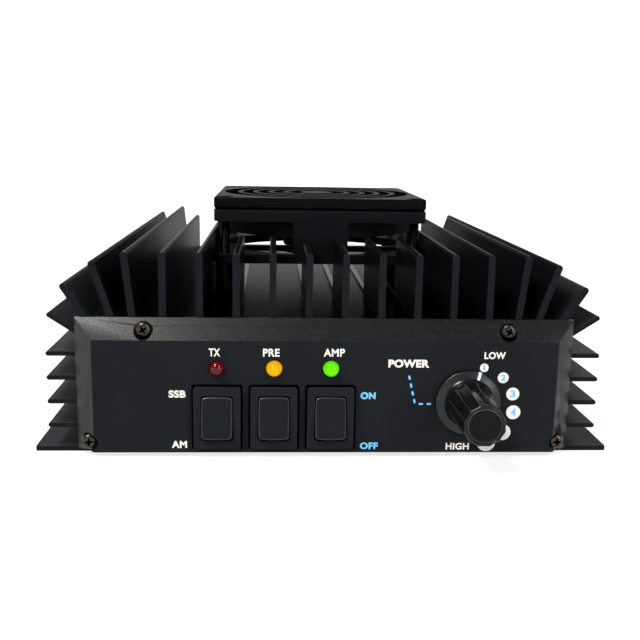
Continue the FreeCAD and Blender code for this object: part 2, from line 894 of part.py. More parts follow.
def make_cover_screws():
    """Six countersunk screws that hold the bottom cover to the ledges."""
    screws = []
    for index, (x, y) in enumerate(COVER_SCREWS):
        tag = "cover_screw_%d" % index
        seat = (x, y, d.cover_thk * 0.04)
        head = cone(tag + "_head", seat, d.cover_head_rad, d.screw_rad, d.cover_thk * 0.9)
        length = d.cover_thk + d.ledge_tall - 1.5
        shank = rod(tag + "_shank", (x, y, length / 2 + 0.2), d.pilot_rad, length, "Z")
        slot = box(tag + "_slot", (x, y, 0), (d.cover_head_rad, d.screw_rad * 0.4, d.cover_thk))
        screws.append(cut(tag, fuse(tag + "_blank", [head, shank]), [slot]))
    return group("bottom_cover_screws", screws)


# ---------------------------------------------------------------- fan
def put(body, **where):
    """Move a body to bound coordinates; its features are drawn around its own origin."""
    base = Vector(*[number(where.get(letter, 0)) for letter in "xyz"])
    body.Placement = Placement(base, Rotation())
    for letter, size in where.items():
        bind(body, "Placement.Base." + letter, size)
    return body


def make_fan_frame():
    """The square frame: two flanges, a round duct, middle blocks, struts and the bearing boss."""
    body = new_body("fan_frame")
    half = d.fan_size / 2
    post = fan_pitch / 2
    low, high = d.fan_foot, d.fan_tall - d.fan_flange
    pad(body, "XY", 0, d.fan_tall, rect(-half, -half, half, half))
    soften(body, d.fan_corner, lambda edge: runs_along(edge, (0, 0, 1)))
    outside = rect(-half - 1, -half - 1, half + 1, half + 1)
    pocket(body, "XY", low, high, several(outside, circle((0, 0), duct_rad)))
    wide = d.fan_block_wide / 2
    end = half + 1
    corners = [rect(wide, wide, end, end), rect(-end, -end, -wide, -wide)]
    corners += [rect(wide, -end, end, -wide), rect(-end, wide, -wide, end)]
    pocket(body, "XY", low, low + d.fan_window, several(*corners))
    deep = bore_rad - 0.2
    pad(body, "XY", low, high, several(rect(-wide, -half, wide, -deep), rect(-wide, deep, wide, half)))
    pad(body, "XY", low, high, several(rect(-half, -wide, -deep, wide), rect(deep, -wide, half, wide)))
    pocket(body, "XY", -1, d.fan_tall + 1, circle((0, 0), bore_rad))
    strut = d.fan_strut_wide / 2
    reach = bore_rad + 0.6
    pad(body, "XY", 0, d.fan_base_thk, circle((0, 0), d.fan_motor_rad))
    pad(body, "XY", 0, d.fan_base_thk, rect(-reach, -strut, reach, strut))
    pad(body, "XY", 0, d.fan_base_thk, rect(-strut, -reach, strut, reach))
    pad(body, "XY", 0, fan_boss_top, circle((0, 0), d.fan_boss_rad))
    pocket(body, "XY", d.fan_base_thk / 2, d.fan_tall, circle((0, 0), d.fan_shaft_rad + d.run_gap))
    screws = [circle((x * post, y * post), d.fan_screw_rad + d.screw_gap) for x in (-1, 1) for y in (-1, 1)]
    pocket(body, "XY", -1, d.fan_tall + 1, several(*screws))
    return put(body, y=fan_mid, z=fan_low)


def make_fan_guard():
    """The finger guard: a rounded square frame with rings and spokes around a central eye."""
    body = new_body("fan_guard")
    half = d.fan_size / 2
    post = fan_pitch / 2
    pad(body, "XY", 0, d.guard_thk, rect(-half, -half, half, half))
    soften(body, d.fan_corner, lambda edge: runs_along(edge, (0, 0, 1)))
    soften(body, d.guard_round, lambda edge: near(edge, z=d.guard_thk))
    pocket(body, "XY", -1, d.guard_thk + 1, circle((0, 0), guard_open_rad))
    low = d.guard_thk / 2
    bar = d.guard_bar / 2
    pad(body, "XY", low, d.guard_thk, circle((0, 0), d.guard_eye_rad))
    for index in range(int(SIZES["guard_ring_count"]) - 1):
        middle = d.guard_eye_rad + (index + 1) * ring_step
        ring = several(circle((0, 0), middle + bar), circle((0, 0), middle - bar))
        pad(body, "XY", low, d.guard_thk, ring)
    thin = d.guard_spoke / 2
    arm = rect(-thin, d.guard_eye_rad - 1, thin, guard_open_rad + 0.6)
    spoke = pad(body, "XY", low - d.guard_spoke_low, d.guard_thk - d.guard_spoke_low, arm)
    round_trip(body, spoke, "Z", d.guard_spokes)
    places = [(x * post, y * post) for x in (-1, 1) for y in (-1, 1)]
    holes = [circle(at, d.fan_screw_rad + d.screw_gap) for at in places]
    sinks = [circle(at, d.fan_head_rad + d.screw_gap) for at in places]
    pocket(body, "XY", -1, d.guard_thk + 1, several(*holes))
    pocket(body, "XY", d.guard_thk - d.fan_head_tall - 0.2, d.guard_thk + 1, several(*sinks))
    return put(body, y=fan_mid, z=fan_top)


def make_fan_rotor():
    """The impeller: a cup-shaped hub with pitched blades."""
    body = new_body("fan_rotor")
    low = d.fan_base_thk + 1.0
    high = low + d.hub_tall
    pad(body, "XY", low, high, circle((0, 0), d.hub_rad))
    pocket(body, "XY", low - 1, high - d.hub_skin, circle((0, 0), d.hub_rad - d.hub_skin))
    pad(body, "XY", fan_boss_top + 0.8, high - d.hub_skin / 2, circle((0, 0), d.fan_boss_rad))
    pocket(body, "XY", low - 1, high - d.hub_skin / 2, circle((0, 0), d.fan_shaft_rad))
    run = d.blade_chord / 2
    rise = d.blade_tall / 2
    middle = d.fan_foot + d.fan_window + d.blade_lift + rise
    slant = polygon(
        [
            (-run, middle - rise),
            (-run + d.blade_thk, middle - rise),
            (run, middle + rise),
            (run - d.blade_thk, middle + rise),
        ]
    )
    blade = pad(body, "YZ", d.hub_rad - d.hub_skin / 2, (bore_rad - d.blade_gap), slant)
    round_trip(body, blade, "Z", d.blade_count)
    return put(body, y=fan_mid, z=fan_low)


def make_fan_core():
    """What turns and what stands inside the hub: shaft, magnet ring and stator."""
    low = fan_low + d.fan_base_thk + 1.0
    shaft_low = fan_low + d.fan_base_thk / 2 + 0.2
    shaft_high = low + d.hub_tall - d.hub_skin / 2
    middle = (shaft_low + shaft_high) / 2
    rod("fan_shaft", (0, fan_mid, middle), d.fan_shaft_rad, shaft_high - shaft_low)
    cup = d.hub_rad - d.hub_skin
    magnet_mid = low + d.stator_tall / 2
    tube("fan_magnet", (0, fan_mid, magnet_mid), cup, cup - d.magnet_thk, d.stator_tall)
    stator_mid = fan_low + d.fan_base_thk + d.stator_tall / 2
    ring = tube("fan_stator_ring", (0, fan_mid, stator_mid), d.stator_rad, d.fan_boss_rad, d.stator_tall)
    slot = d.stator_rad * 0.3
    slots = []
    for side in (-1, 1):
        across = d.stator_rad * 0.82 * side
        tall = d.stator_tall + 2
        slots.append(box("stator_slot_x%d" % side, (across, fan_mid, stator_mid), (slot * 2, slot, tall)))
        slots.append(box("stator_slot_y%d" % side, (0, fan_mid + across, stator_mid), (slot, slot * 2, tall)))
    return cut("fan_stator", ring, slots)


def make_fan_fixings():
    """Four spacers that lift the fan off the roof, and the long screws through guard, fan and spacer."""
    spacers = []
    screws = []
    seat = fan_top + d.guard_thk - d.fan_head_tall - 0.2
    foot = d.body_top - d.fan_screw_bite
    for index, (x, y) in enumerate(FAN_CORNERS):
        middle = d.body_top + d.fan_lift / 2
        bore = d.fan_screw_rad + d.screw_gap
        spacers.append(tube("fan_spacer_%d" % index, (x, y, middle), d.spacer_rad, bore, d.fan_lift))
        crown = (x, y, seat + d.fan_head_tall / 2)
        head = rod("fan_screw_head_%d" % index, crown, d.fan_head_rad, d.fan_head_tall)
        shank = rod("fan_screw_shank_%d" % index, (x, y, (seat + foot) / 2), d.fan_screw_rad, seat - foot)
        long, thin, deep = d.fan_head_rad, d.fan_head_rad * 0.25, d.fan_head_tall
        top = seat + d.fan_head_tall
        bars = [
            box("fan_screw_slot_a%d" % index, (x, y, top), (long, thin, deep)),
            box("fan_screw_slot_b%d" % index, (x, y, top), (thin, long, deep)),
        ]
        blank = fuse("fan_screw_blank_%d" % index, [head, shank])
        screws.append(cut("fan_screw_%d" % index, blank, bars))
    group("fan_spacers", spacers)
    return group("fan_screws", screws)


# ---------------------------------------------------------------- rocker switches
def make_switch(name, middle):
    """One rocker switch: the housing with its bezel, and the rocker on its two pins."""
    body = new_body(name + "_switch")
    wide, tall = d.bezel_wide / 2, d.bezel_tall / 2
    pad(body, "XZ", face - d.bezel_thk, face, rect(-wide, -tall, wide, tall))
    soften(body, 1.0, lambda edge: runs_along(edge, (0, 1, 0)))
    wide, tall = d.switch_wide / 2, d.switch_tall / 2
    pad(body, "XZ", face, face + d.switch_deep, rect(-wide, -tall, wide, tall))
    wide, tall = d.rocker_wide / 2 + d.rocker_gap, rocker_press + d.rocker_gap
    room = face - d.bezel_thk + d.rocker_sunk + d.rocker_room
    pocket(body, "XZ", face - d.bezel_thk - 1, room, rect(-wide, -tall, wide, tall))
    edge_x = number(wide)
    soften(
        body,
        d.rocker_corner,
        lambda edge: runs_along(edge, (0, 1, 0)) and abs(abs(edge.CenterOfMass.x) - edge_x) < 0.01,
    )
    seat = d.rocker_wide / 2 + d.rocker_pin_out + 0.1
    pocket(body, "YZ", -seat, seat, circle((rocker_axis, 0), d.rocker_pin_rad + d.run_gap))
    put(body, x=middle, z=d.switch_z)

    rocker = new_body(name + "_rocker")
    wide = d.rocker_wide / 2
    pad(rocker, "YZ", -wide, wide, circle((0, 0), rocker_swing))
    top = rocker_swing + 1
    crown = -(d.rocker_sunk + d.rocker_proud)
    front_cut = polygon([(crown, -top), (crown + d.rocker_valley, 0), (crown, top), (-top, top), (-top, -top)])
    pocket(rocker, "YZ", -wide - 1, wide + 1, front_cut)
    pocket(rocker, "YZ", -wide - 1, wide + 1, rect(d.rocker_deep, -top, top, top))
    half = d.rocker_tall / 2
    side_rad = (half * half + d.rocker_bow * d.rocker_bow) / (d.rocker_bow * 2)
    end_rad = (wide * wide + d.rocker_arch * d.rocker_arch) / (d.rocker_arch * 2)
    for way in (-1, 1):
        reach = side_rad + 4
        middle_x = way * (wide - side_rad)
        outside = rect(middle_x - reach, -reach, middle_x + reach, reach)
        pocket(rocker, "XZ", -top, d.rocker_deep + 1, several(outside, circle((middle_x, 0), side_rad)))
        reach = end_rad + 4
        middle_z = way * (half - end_rad)
        outside = rect(-reach, middle_z - reach, reach, middle_z + reach)
        pocket(rocker, "XZ", -top, d.rocker_deep + 1, several(outside, circle((0, middle_z), end_rad)))
    soften(rocker, d.rocker_corner, lambda edge: runs_along(edge, (0, 1, 0)))
    soften(rocker, d.rocker_round, lambda edge: edge.CenterOfMass.y < number(crown) * 0.75)
    pin = wide + d.rocker_pin_out
    pad(rocker, "YZ", -pin, pin, circle((0, 0), d.rocker_pin_rad))
    rocker.Placement = Placement(
        Vector(number(middle), number(rocker_axis), number(d.switch_z)),
        Rotation(Vector(-1, 0, 0), number(d.rocker_angle)),
    )
    for letter, size in zip("xyz", (middle, rocker_axis, d.switch_z)):
        bind(rocker, "Placement.Base." + letter, size)
    bind(rocker, "Placement.Rotation.Angle", d.rocker_angle)


def make_switch_lugs():
    """The solder lugs behind the switches."""
    lugs = []
    for index in range(len(SWITCHES)):
        middle = d.switch_first + index * d.switch_pitch
        for step in (-1, 0, 1):
            at = (middle, face + d.switch_deep + d.lug_len / 2, d.switch_z + step * d.lug_step)
            lugs.append(box("switch_lug_%d_%d" % (index, step), at, (d.lug_wide, d.lug_len, d.lug_thk)))
    return group("switch_lugs", lugs)


# ---------------------------------------------------------------- power selector
def make_selector():
    """The rotary switch behind the panel, its nut, its shaft, and the knob that is clamped to it."""
    x, z = d.knob_x, d.knob_z
    back = face + d.panel_skin
    deep = back + d.rotary_deep
    case = rod("rotary_case", (x, (back + deep) / 2, z), d.rotary_rad, d.rotary_deep, "Y")
    bush_end = face - d.bush_out
    bush = rod("rotary_bush", (x, (bush_end + deep) / 2, z), d.bush_rad, deep - bush_end, "Y")
    inside = (x, (bush_end + deep) / 2 - 1, z)
    bore = rod("rotary_bore", inside, d.shaft_rad + d.run_gap, deep - bush_end, "Y")
    cut("rotary_switch", fuse("rotary_blank", [case, bush]), [bore])
    nut_mid = face - d.nut_thk / 2
    nut = hexagon("rotary_nut_blank", (x, nut_mid, z), d.nut_across, d.nut_thk, "Y")
    cut("rotary_nut", nut, [rod("rotary_nut_bore", (x, nut_mid, z), d.bush_rad, d.nut_thk + 2, "Y")])
    collet_end = knob_end + d.cap_thk + 0.6
    shaft_low, shaft_high = collet_end + 1.5, deep - 2.0
    rod("power_shaft", (x, (shaft_low + shaft_high) / 2, z), d.shaft_rad, shaft_high - shaft_low, "Y")
    collet_back = knob_back - d.recess_deep
    collet_len = collet_back - collet_end
    tube("power_collet", (x, (collet_back + collet_end) / 2, z), d.collet_rad, d.shaft_rad, collet_len, "Y")
    rod("power_knob_cap", (x, knob_end + d.cap_thk / 2, z), d.cap_rad, d.cap_thk, "Y")


def make_knob():
    """The fluted grip and the skirt that carries the pointer."""
    grip = new_body("power_knob")
    sunk = knob_end + d.cap_thk
    recess = knob_back - d.recess_deep
    outline = [
        (knob_back, d.recess_rad),
        (knob_back, d.grip_base_rad),
        (skirt_front, d.grip_base_rad),
        (knob_end, d.grip_end_rad),
        (knob_end, d.cap_rad),
        (sunk, d.cap_rad),
        (sunk, d.collet_rad),
        (recess, d.collet_rad),
        (recess, d.recess_rad),
    ]
    turned(grip, "YZ", "Y", polygon(outline))
    hollow = circle((0, d.grip_end_rad + d.flute_rad - d.flute_bite), d.flute_rad)
    flute = pocket(grip, "XZ", knob_end - 1, skirt_front - 0.2, hollow)
    round_trip(grip, flute, "Y", d.flute_count)
    put(grip, x=d.knob_x, z=d.knob_z)

    skirt = new_body("power_knob_skirt")
    rim = d.skirt_rad - 0.8
    outline = [
        (knob_back, d.grip_base_rad),
        (knob_back, d.skirt_rad),
        (skirt_front + 0.8, d.skirt_rad),
        (skirt_front, rim),
        (skirt_front, d.grip_base_rad),
    ]
    turned(skirt, "YZ", "Y", polygon(outline))
    put(skirt, x=d.knob_x, z=d.knob_z)


# ---------------------------------------------------------------- lamps
def make_lamps():
    """The three domed lamps, their leads and the small board that carries them."""
    inside = face + d.panel_skin
    board_low = inside + d.lamp_flange_thk + d.lamp_board_gap
    leads = []
    for name, index in (("tx", 0), ("preamp", 1), ("amp", 2)):
        x = d.switch_first + index * d.switch_pitch
        crown = face - d.lamp_out + d.lamp_rad
        flange_mid = inside + d.lamp_flange_thk / 2
        stem = rod(name + "_stem", (x, (crown + inside) / 2, d.lamp_z), d.lamp_rad, inside - crown, "Y")
        dome = ball(name + "_dome", (x, crown, d.lamp_z), d.lamp_rad)
        flange = rod(name + "_flange", (x, flange_mid, d.lamp_z), d.lamp_flange_rad, d.lamp_flange_thk, "Y")
        fuse(name + "_lamp", [stem, dome, flange])
        for side in (-1, 1):
            tail = d.lamp_board_gap + d.board_thk / 2
            at = (x + side * 1.27, inside + d.lamp_flange_thk + tail / 2, d.lamp_z)
            leads.append(rod("%s_lead_%d" % (name, side), at, 0.25, tail, "Y"))
    group("lamp_leads", leads)
    middle = d.switch_first + d.switch_pitch
    board_mid = board_low + d.board_thk / 2
    height = d.lamp_z + 1.5
    wide = d.switch_pitch * 3
    board = box("lamp_board_blank", (middle, board_mid, height), (wide, d.board_thk, d.lamp_board_tall))
    holes = []
    pillars = []
    screws = []
    for name, index in (("tx", 0), ("preamp", 1), ("amp", 2)):
        for side in (-1, 1):
            at = (d.switch_first + index * d.switch_pitch + side * 1.27, board_mid, d.lamp_z)
            holes.append(rod("%s_lead_hole_%d" % (name, side), at, 0.25, d.board_thk + 2, "Y"))
    for side in (-1, 1):
        x = middle + side * d.switch_pitch / 2
        reach = board_low - inside
        bore = d.small_screw_rad
        post = rod("lamp_post_%d" % side, (x, inside + reach / 2, height), d.pillar_rad - 0.7, reach, "Y")
        hole = rod("lamp_post_bore_%d" % side, (x, inside + reach / 2 + 1, height), bore, reach, "Y")
        pillars.append(cut("lamp_pillar_%d" % side, post, [hole]))
        holes.append(rod("lamp_hole_%d" % side, (x, board_mid, height), bore, d.board_thk + 2, "Y"))
        back = board_low + d.board_thk
        grip = d.board_thk + reach - 1.5
        head_at = (x, back + d.small_head_tall / 2, height)
        head = rod("lamp_screw_head_%d" % side, head_at, d.small_head_rad, d.small_head_tall, "Y")
        shank = rod("lamp_screw_shank_%d" % side, (x, back - grip / 2, height), bore, grip, "Y")
        screws.append(fuse("lamp_screw_%d" % side, [head, shank]))
    cut("lamp_board", board, holes)
    group("lamp_board_pillars", pillars)
    group("lamp_board_screws", screws)


# ---------------------------------------------------------------- RF deck
def make_deck():
    """The main board, hung on pillars below the roof, and the screws that hold it."""
    board_at = (0, board_mid_y, board_low + d.board_thk / 2)
    board = box("main_board_blank", board_at, (d.deck_board_wide, d.deck_board_len, d.board_thk))
    holes = []
    pillars = []
    screws = []
    for index, (x, y) in enumerate(PILLARS):
        bore = d.small_screw_rad
        middle = roof - d.pillar_tall / 2
        pillars.append(tube("board_pillar_%d" % index, (x, y, middle), d.pillar_rad, bore, d.pillar_tall))
        holes.append(rod("board_hole_%d" % index, (x, y, board_low + d.board_thk / 2), bore, d.board_thk + 2))
        head_at = (x, y, board_low - d.small_head_tall / 2)
        head = rod("board_screw_head_%d" % index, head_at, d.small_head_rad, d.small_head_tall)
        length = d.board_thk + d.pillar_tall + roof_bite
        shank = rod("board_screw_shank_%d" % index, (x, y, board_low + length / 2), bore, length)
        screws.append(fuse("board_screw_%d" % index, [head, shank]))
    cut("main_board", board, holes)
    group("board_pillars", pillars)
    group("board_screws", screws)


def make_transistors():
    """Four flanged RF transistors bolted to the roof, with strip leads down to the board."""
    devices = []
    screws = []
    for index, x in enumerate(TRANSISTORS):
        tag = "transistor_%d" % index
        under = roof - d.rf_flange_thk
        against = (x, fan_mid, roof - d.rf_flange_thk / 2)
        flange = box(tag + "_flange", against, (d.rf_wide, d.rf_long, d.rf_flange_thk))
        cap_size = (d.rf_wide / 2, d.rf_long - 1, d.rf_cap_thk)
        cap = box(tag + "_cap", (x, fan_mid, under - d.rf_cap_thk / 2), cap_size)
        pieces = [flange, cap]
        lead_low = board_low + d.board_thk
        for side in (-1, 1):
            out = fan_mid + side * (d.rf_long / 2 + d.rf_gap)
            level = under - d.rf_cap_thk / 2
            arm = (d.rf_wide / 4, d.rf_gap + 1.5, d.lead_thk)
            pieces.append(box("%s_arm_%d" % (tag, side), (x, out - side * (d.rf_gap + 1.5) / 2, level), arm))
            drop = level + d.lead_thk / 2 - lead_low
            foot = (x, out, lead_low + drop / 2)
            pieces.append(box("%s_drop_%d" % (tag, side), foot, (d.rf_wide / 4, d.lead_thk, drop)))
        holes = []
        for side in (-1, 1):
            at_x = x + side * d.rf_wide * 0.38
            bore = d.small_screw_rad
            holes.append(rod("%s_hole_%d" % (tag, side), (at_x, fan_mid, roof), bore, d.rf_flange_thk * 3))
            head_at = (at_x, fan_mid, under - d.small_head_tall / 2)
            head = rod("%s_screw_head_%d" % (tag, side), head_at, d.small_head_rad, d.small_head_tall)
            length = d.rf_flange_thk + roof_bite
            shank = rod("%s_screw_shank_%d" % (tag, side), (at_x, fan_mid, under + length / 2), bore, length)
            screws.append(fuse("%s_screw_%d" % (tag, side), [head, shank]))
        devices.append(cut(tag, fuse(tag + "_blank", pieces), holes))
    group("rf_transistors", devices)
    group("transistor_screws", screws)


def make_transformer(name, y, wide, long, tall, bore):
    """A two-hole ferrite core with its brass tubes and end plates, under the board."""
    middle = board_low - tall / 2
    core = box(name + "_core_blank", (0, y, middle), (wide, long, tall))
    holes = []
    metal = []
    for side in (-1, 1):
        x = side * wide / 4
        holes.append(rod("%s_bore_%d" % (name, side), (x, y, middle), bore, long + 2, "Y"))
        reach = long + 2 * d.plate_thk
        metal.append(rod("%s_tube_%d" % (name, side), (x, y, middle), bore - d.tube_gap, reach, "Y"))
    inside = [rod("%s_in_%d" % (name, n), (n * wide / 4, y, middle), bore - 1, long * 2, "Y") for n in (-1, 1)]
    for side in (-1, 1):
        at = (0, y + side * (long + d.plate_thk) / 2, middle)
        metal.append(box("%s_plate_%d" % (name, side), at, (wide - 1, d.plate_thk, tall - 1)))
    cut(name + "_core", core, holes)
    cut(name + "_winding", fuse(name + "_metal", metal), inside)


def make_board_parts():
    """Relays, coils, capacitors, the supply choke and the fuses, all under the main board."""
    for name, side in (("input_relay", -1), ("antenna_relay", 1)):
        at = (side * d.relay_x, board_rear - d.relay_long, board_low - d.relay_tall / 2)
        box(name, at, (d.relay_wide, d.relay_long, d.relay_tall))
    coils = []
    for number_of, (side, row) in enumerate([(side, row) for side in (-1, 1) for row in (0, 1)]):
        rings = []
        for turn in range(int(SIZES["coil_turns"])):
            ring = doc.addObject("Part::Torus", "coil_%d_ring_%d" % (number_of, turn))
            ring.Radius1 = number(d.coil_rad)
            ring.Radius2 = number(d.coil_wire)
            bind(ring, "Radius1", d.coil_rad)
            bind(ring, "Radius2", d.coil_wire)
            at = (
                side * d.relay_x,
                board_mid_y + row * d.coil_rad * 3 + turn * d.coil_wire * 1.85,
                board_low - d.coil_rad - d.coil_wire,
            )
            rings.append(place(ring, at, (-1, 0, 0), 90.0))
        coils.append(fuse("coil_%d" % number_of, rings))
    group("filter_coils", coils)
    cans = []
    for index in (-1, 1):
        at = (index * d.choke_rad * 2.2, choke_y, board_low - d.cap_can_tall / 2)
        cans.append(rod("supply_can_%d" % index, at, d.cap_can_rad, d.cap_can_tall))
    group("supply_capacitors", cans)
    at = (0, choke_y, board_low - d.choke_tall / 2)
    tube("supply_choke", at, d.choke_rad, d.choke_bore, d.choke_tall)
    holders = []
    fuses = []
    for index in (-1, 0, 1):
        x = index * d.fuse_pitch
        middle = fuse_y
        slot_tall = d.fuse_seat_tall * 0.6
        block_at = (x, middle, board_low - d.fuse_seat_tall / 2)
        block = box("fuse_block_%d" % index, block_at, (d.fuse_thk + 2, d.fuse_wide + 2, d.fuse_seat_tall))
        low = board_low - d.fuse_seat_tall
        slot_at = (x, middle, low)
        slot = box("fuse_slot_%d" % index, slot_at, (d.fuse_thk + 0.1, d.fuse_wide + 0.1, slot_tall * 2))
        holders.append(cut("fuse_holder_%d" % index, block, [slot]))
        fuse_at = (x, middle, low + slot_tall - d.fuse_tall / 2)
        fuses.append(box("blade_fuse_%d" % index, fuse_at, (d.fuse_thk, d.fuse_wide, d.fuse_tall)))
    group("fuse_holders", holders)
    group("blade_fuses", fuses)


# ---------------------------------------------------------------- rear connectors
def make_sockets():
    """Two panel sockets with threaded shells, insulators, centre contacts and flange screws."""
    insulators = []
    contacts = []
    screws = []
    plate_out = back_face + d.socket_plate
    nose = plate_out + d.socket_reach
    tail = back_face - d.panel_skin - d.socket_tail
    z = d.socket_z
    for name, x in socket_centres().items():
        plate_at = (x, back_face + d.socket_plate / 2, z)
        plate = box(name + "_plate", plate_at, (d.socket_side, d.socket_plate, d.socket_side))
        barrel = rod(name + "_barrel", (x, (plate_out + nose) / 2, z), d.socket_rad, d.socket_reach, "Y")
        neck = rod(name + "_neck", (x, (back_face + tail) / 2, z), d.socket_neck_rad, back_face - tail, "Y")
        bore = rod(name + "_core_bore", (x, (nose + tail) / 2, z), d.socket_core_rad, nose - tail + 2, "Y")
        half = d.socket_hole_pitch / 2
        holes = [bore]
        for side in (-1, 1):
            for up in (-1, 1):
                tag = "%s_socket_%d_%d" % (name, side, up)
                at = (x + side * half, plate_at[1], z + up * half)
                holes.append(rod(tag + "_hole", at, d.socket_screw_rad, d.socket_plate + 2, "Y"))
                head_at = (at[0], plate_out + d.small_head_tall / 2, at[2])
                head = rod(tag + "_head", head_at, d.small_head_rad, d.small_head_tall, "Y")
                length = d.socket_plate + d.panel_skin + 1
                shank_at = (at[0], plate_out - length / 2, at[2])
                shank = rod(tag + "_shank", shank_at, d.socket_screw_rad, length, "Y")
                screws.append(fuse(tag + "_screw", [head, shank]))
        cut(name + "_socket", fuse(name + "_shell", [plate, barrel, neck]), holes)
        core_end = nose - d.socket_sunk
        core_at = (x, (tail + core_end) / 2, z)
        core_tag = name + "_insulator"
        insulators.append(tube(core_tag, core_at, d.socket_core_rad, d.socket_pin_rad, core_end - tail, "Y"))
        pin_low = tail - d.socket_tail
        pin = rod(name + "_pin", (x, (pin_low + core_end) / 2, z), d.socket_pin_rad, core_end - pin_low, "Y")
        well = d.socket_well
        well_at = (x, core_end - well / 2 + 0.5, z)
        hole = rod(name + "_pin_hole", well_at, d.socket_bore_rad, well + 1, "Y")
        contacts.append(cut(name + "_contact", pin, [hole]))
    group("socket_insulators", insulators)
    group("socket_contacts", contacts)
    group("socket_screws", screws)


def make_grommet():
    """The rubber grommet where the supply lead enters."""
    x, z = d.lead_x, d.socket_z
    skin_mid = back_face - d.panel_skin / 2
    total = d.panel_skin + 2 * d.grommet_lip_thk
    neck = rod("grommet_neck", (x, skin_mid, z), d.grommet_rad, total, "Y")
    lips = []
    for side in (-1, 1):
        at = (x, skin_mid + side * (d.panel_skin + d.grommet_lip_thk) / 2, z)
        lips.append(rod("grommet_lip_%d" % side, at, d.grommet_lip, d.grommet_lip_thk, "Y"))
    blank = fuse("grommet_blank", [neck] + lips)
    cut("supply_lead_grommet", blank, [rod("grommet_bore", (x, skin_mid, z), d.lead_rad, total + 2, "Y")])


# ---------------------------------------------------------------- build and export
NODES = [
    "heatsink",
    "front_panel",
    "rear_panel",
    "bottom_cover",
    "front_panel_screws",
    "rear_panel_screws",
    "bottom_cover_screws",
    "fan_frame",
    "fan_guard",
    "fan_spacers",
    "fan_screws",
    "fan_stator",
    "fan_rotor",
    "fan_shaft",
    "fan_magnet",
    "mode_switch",
    "preamp_switch",
    "amp_switch",
    "mode_rocker",
    "preamp_rocker",
    "amp_rocker",
    "switch_lugs",
    "rotary_switch",
    "rotary_nut",
    "power_shaft",
    "power_collet",
    "power_knob",
    "power_knob_skirt",
    "power_knob_cap",
    "tx_lamp",
    "preamp_lamp",
    "amp_lamp",
    "lamp_leads",
    "lamp_board",
    "lamp_board_pillars",
    "lamp_board_screws",
    "main_board",
    "board_pillars",
    "board_screws",
    "rf_transistors",
    "transistor_screws",
    "input_transformer_core",
    "input_transformer_winding",
    "output_transformer_core",
    "output_transformer_winding",
    "input_relay",
    "antenna_relay",
    "filter_coils",
    "supply_capacitors",
    "supply_choke",
    "fuse_holders",
    "blade_fuses",
    "input_socket",
    "antenna_socket",
    "socket_insulators",
    "socket_contacts",
    "socket_screws",
    "supply_lead_grommet",
]


def build():
    """Make every sub-part."""
    make_heatsink()
    make_grooves(make_panel("front_panel", front, -1, front_openings()))
    make_panel("rear_panel", rear, 1, rear_openings())
    make_cover()
    make_end_screws("front_panel_screws", front, -1)
    make_end_screws("rear_panel_screws", rear, 1)
    make_cover_screws()
    make_fan_frame()
    make_fan_guard()
    make_fan_rotor()
    make_fan_core()
    make_fan_fixings()
    for index, name in enumerate(SWITCHES):
        make_switch(name, d.switch_first + index * d.switch_pitch)
    make_switch_lugs()
    make_selector()
    make_knob()
    make_lamps()
    make_deck()
    make_transistors()
    make_transformer("input_transformer", in_core_y, d.in_core_wide, d.in_core_long, d.in_core_tall, d.in_bore_rad)
    make_transformer(
        "output_transformer", out_core_y, d.out_core_wide, d.out_core_long, d.out_core_tall, d.out_bore_rad
    )
    make_board_parts()
    make_sockets()
    make_grommet()
    doc.recompute()


def export():
    """Check every object and write one STEP file for each node."""
    os.makedirs("parts", exist_ok=True)
    for item in doc.Objects:
        if "Invalid" in item.State or "Error" in item.State:
            raise RuntimeError("%s did not build: %s" % (item.Name, item.State))
    by_label = {item.Label: item for item in doc.Objects}
    for name in NODES:
        shape = by_label[name].Shape
        if shape.isNull() or not shape.Solids or not shape.isValid():
            raise RuntimeError(name + " has no valid shape")
        shape.exportStep("parts/%s.step" % name)


build()
export()
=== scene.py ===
"""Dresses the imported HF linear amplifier: case, panels, fan, switches, selector, lamps, circuit and sockets."""
import sys

import json
import logging
import math
from contextlib import contextmanager
from dataclasses import dataclass, field
from enum import Enum
from functools import partial
from typing import Any, Callable, Iterable, Iterator, Optional, Sequence

import bmesh
import bpy
from mathutils import Matrix, Vector

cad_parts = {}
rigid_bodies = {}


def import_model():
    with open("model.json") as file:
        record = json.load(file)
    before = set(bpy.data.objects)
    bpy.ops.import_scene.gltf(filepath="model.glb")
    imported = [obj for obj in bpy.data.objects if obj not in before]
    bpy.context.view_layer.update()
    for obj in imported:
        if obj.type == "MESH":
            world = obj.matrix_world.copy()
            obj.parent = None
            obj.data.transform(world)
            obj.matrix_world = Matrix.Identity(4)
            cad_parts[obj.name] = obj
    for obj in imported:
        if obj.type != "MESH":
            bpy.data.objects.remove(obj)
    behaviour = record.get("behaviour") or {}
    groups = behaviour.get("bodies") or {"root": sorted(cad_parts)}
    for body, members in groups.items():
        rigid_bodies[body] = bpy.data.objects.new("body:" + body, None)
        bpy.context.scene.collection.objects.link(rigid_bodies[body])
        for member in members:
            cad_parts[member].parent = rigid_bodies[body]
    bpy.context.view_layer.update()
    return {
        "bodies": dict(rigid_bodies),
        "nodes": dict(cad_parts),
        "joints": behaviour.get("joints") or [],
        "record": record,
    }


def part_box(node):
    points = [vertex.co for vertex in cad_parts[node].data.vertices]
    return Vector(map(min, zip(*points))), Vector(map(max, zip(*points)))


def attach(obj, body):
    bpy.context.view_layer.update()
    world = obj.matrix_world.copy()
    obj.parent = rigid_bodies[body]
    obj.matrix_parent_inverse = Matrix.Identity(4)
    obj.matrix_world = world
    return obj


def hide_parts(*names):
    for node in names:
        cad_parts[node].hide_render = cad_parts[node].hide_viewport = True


log = logging.getLogger("amplifier")
SWITCHES = ("mode", "preamp", "amp")

MM = 0.001
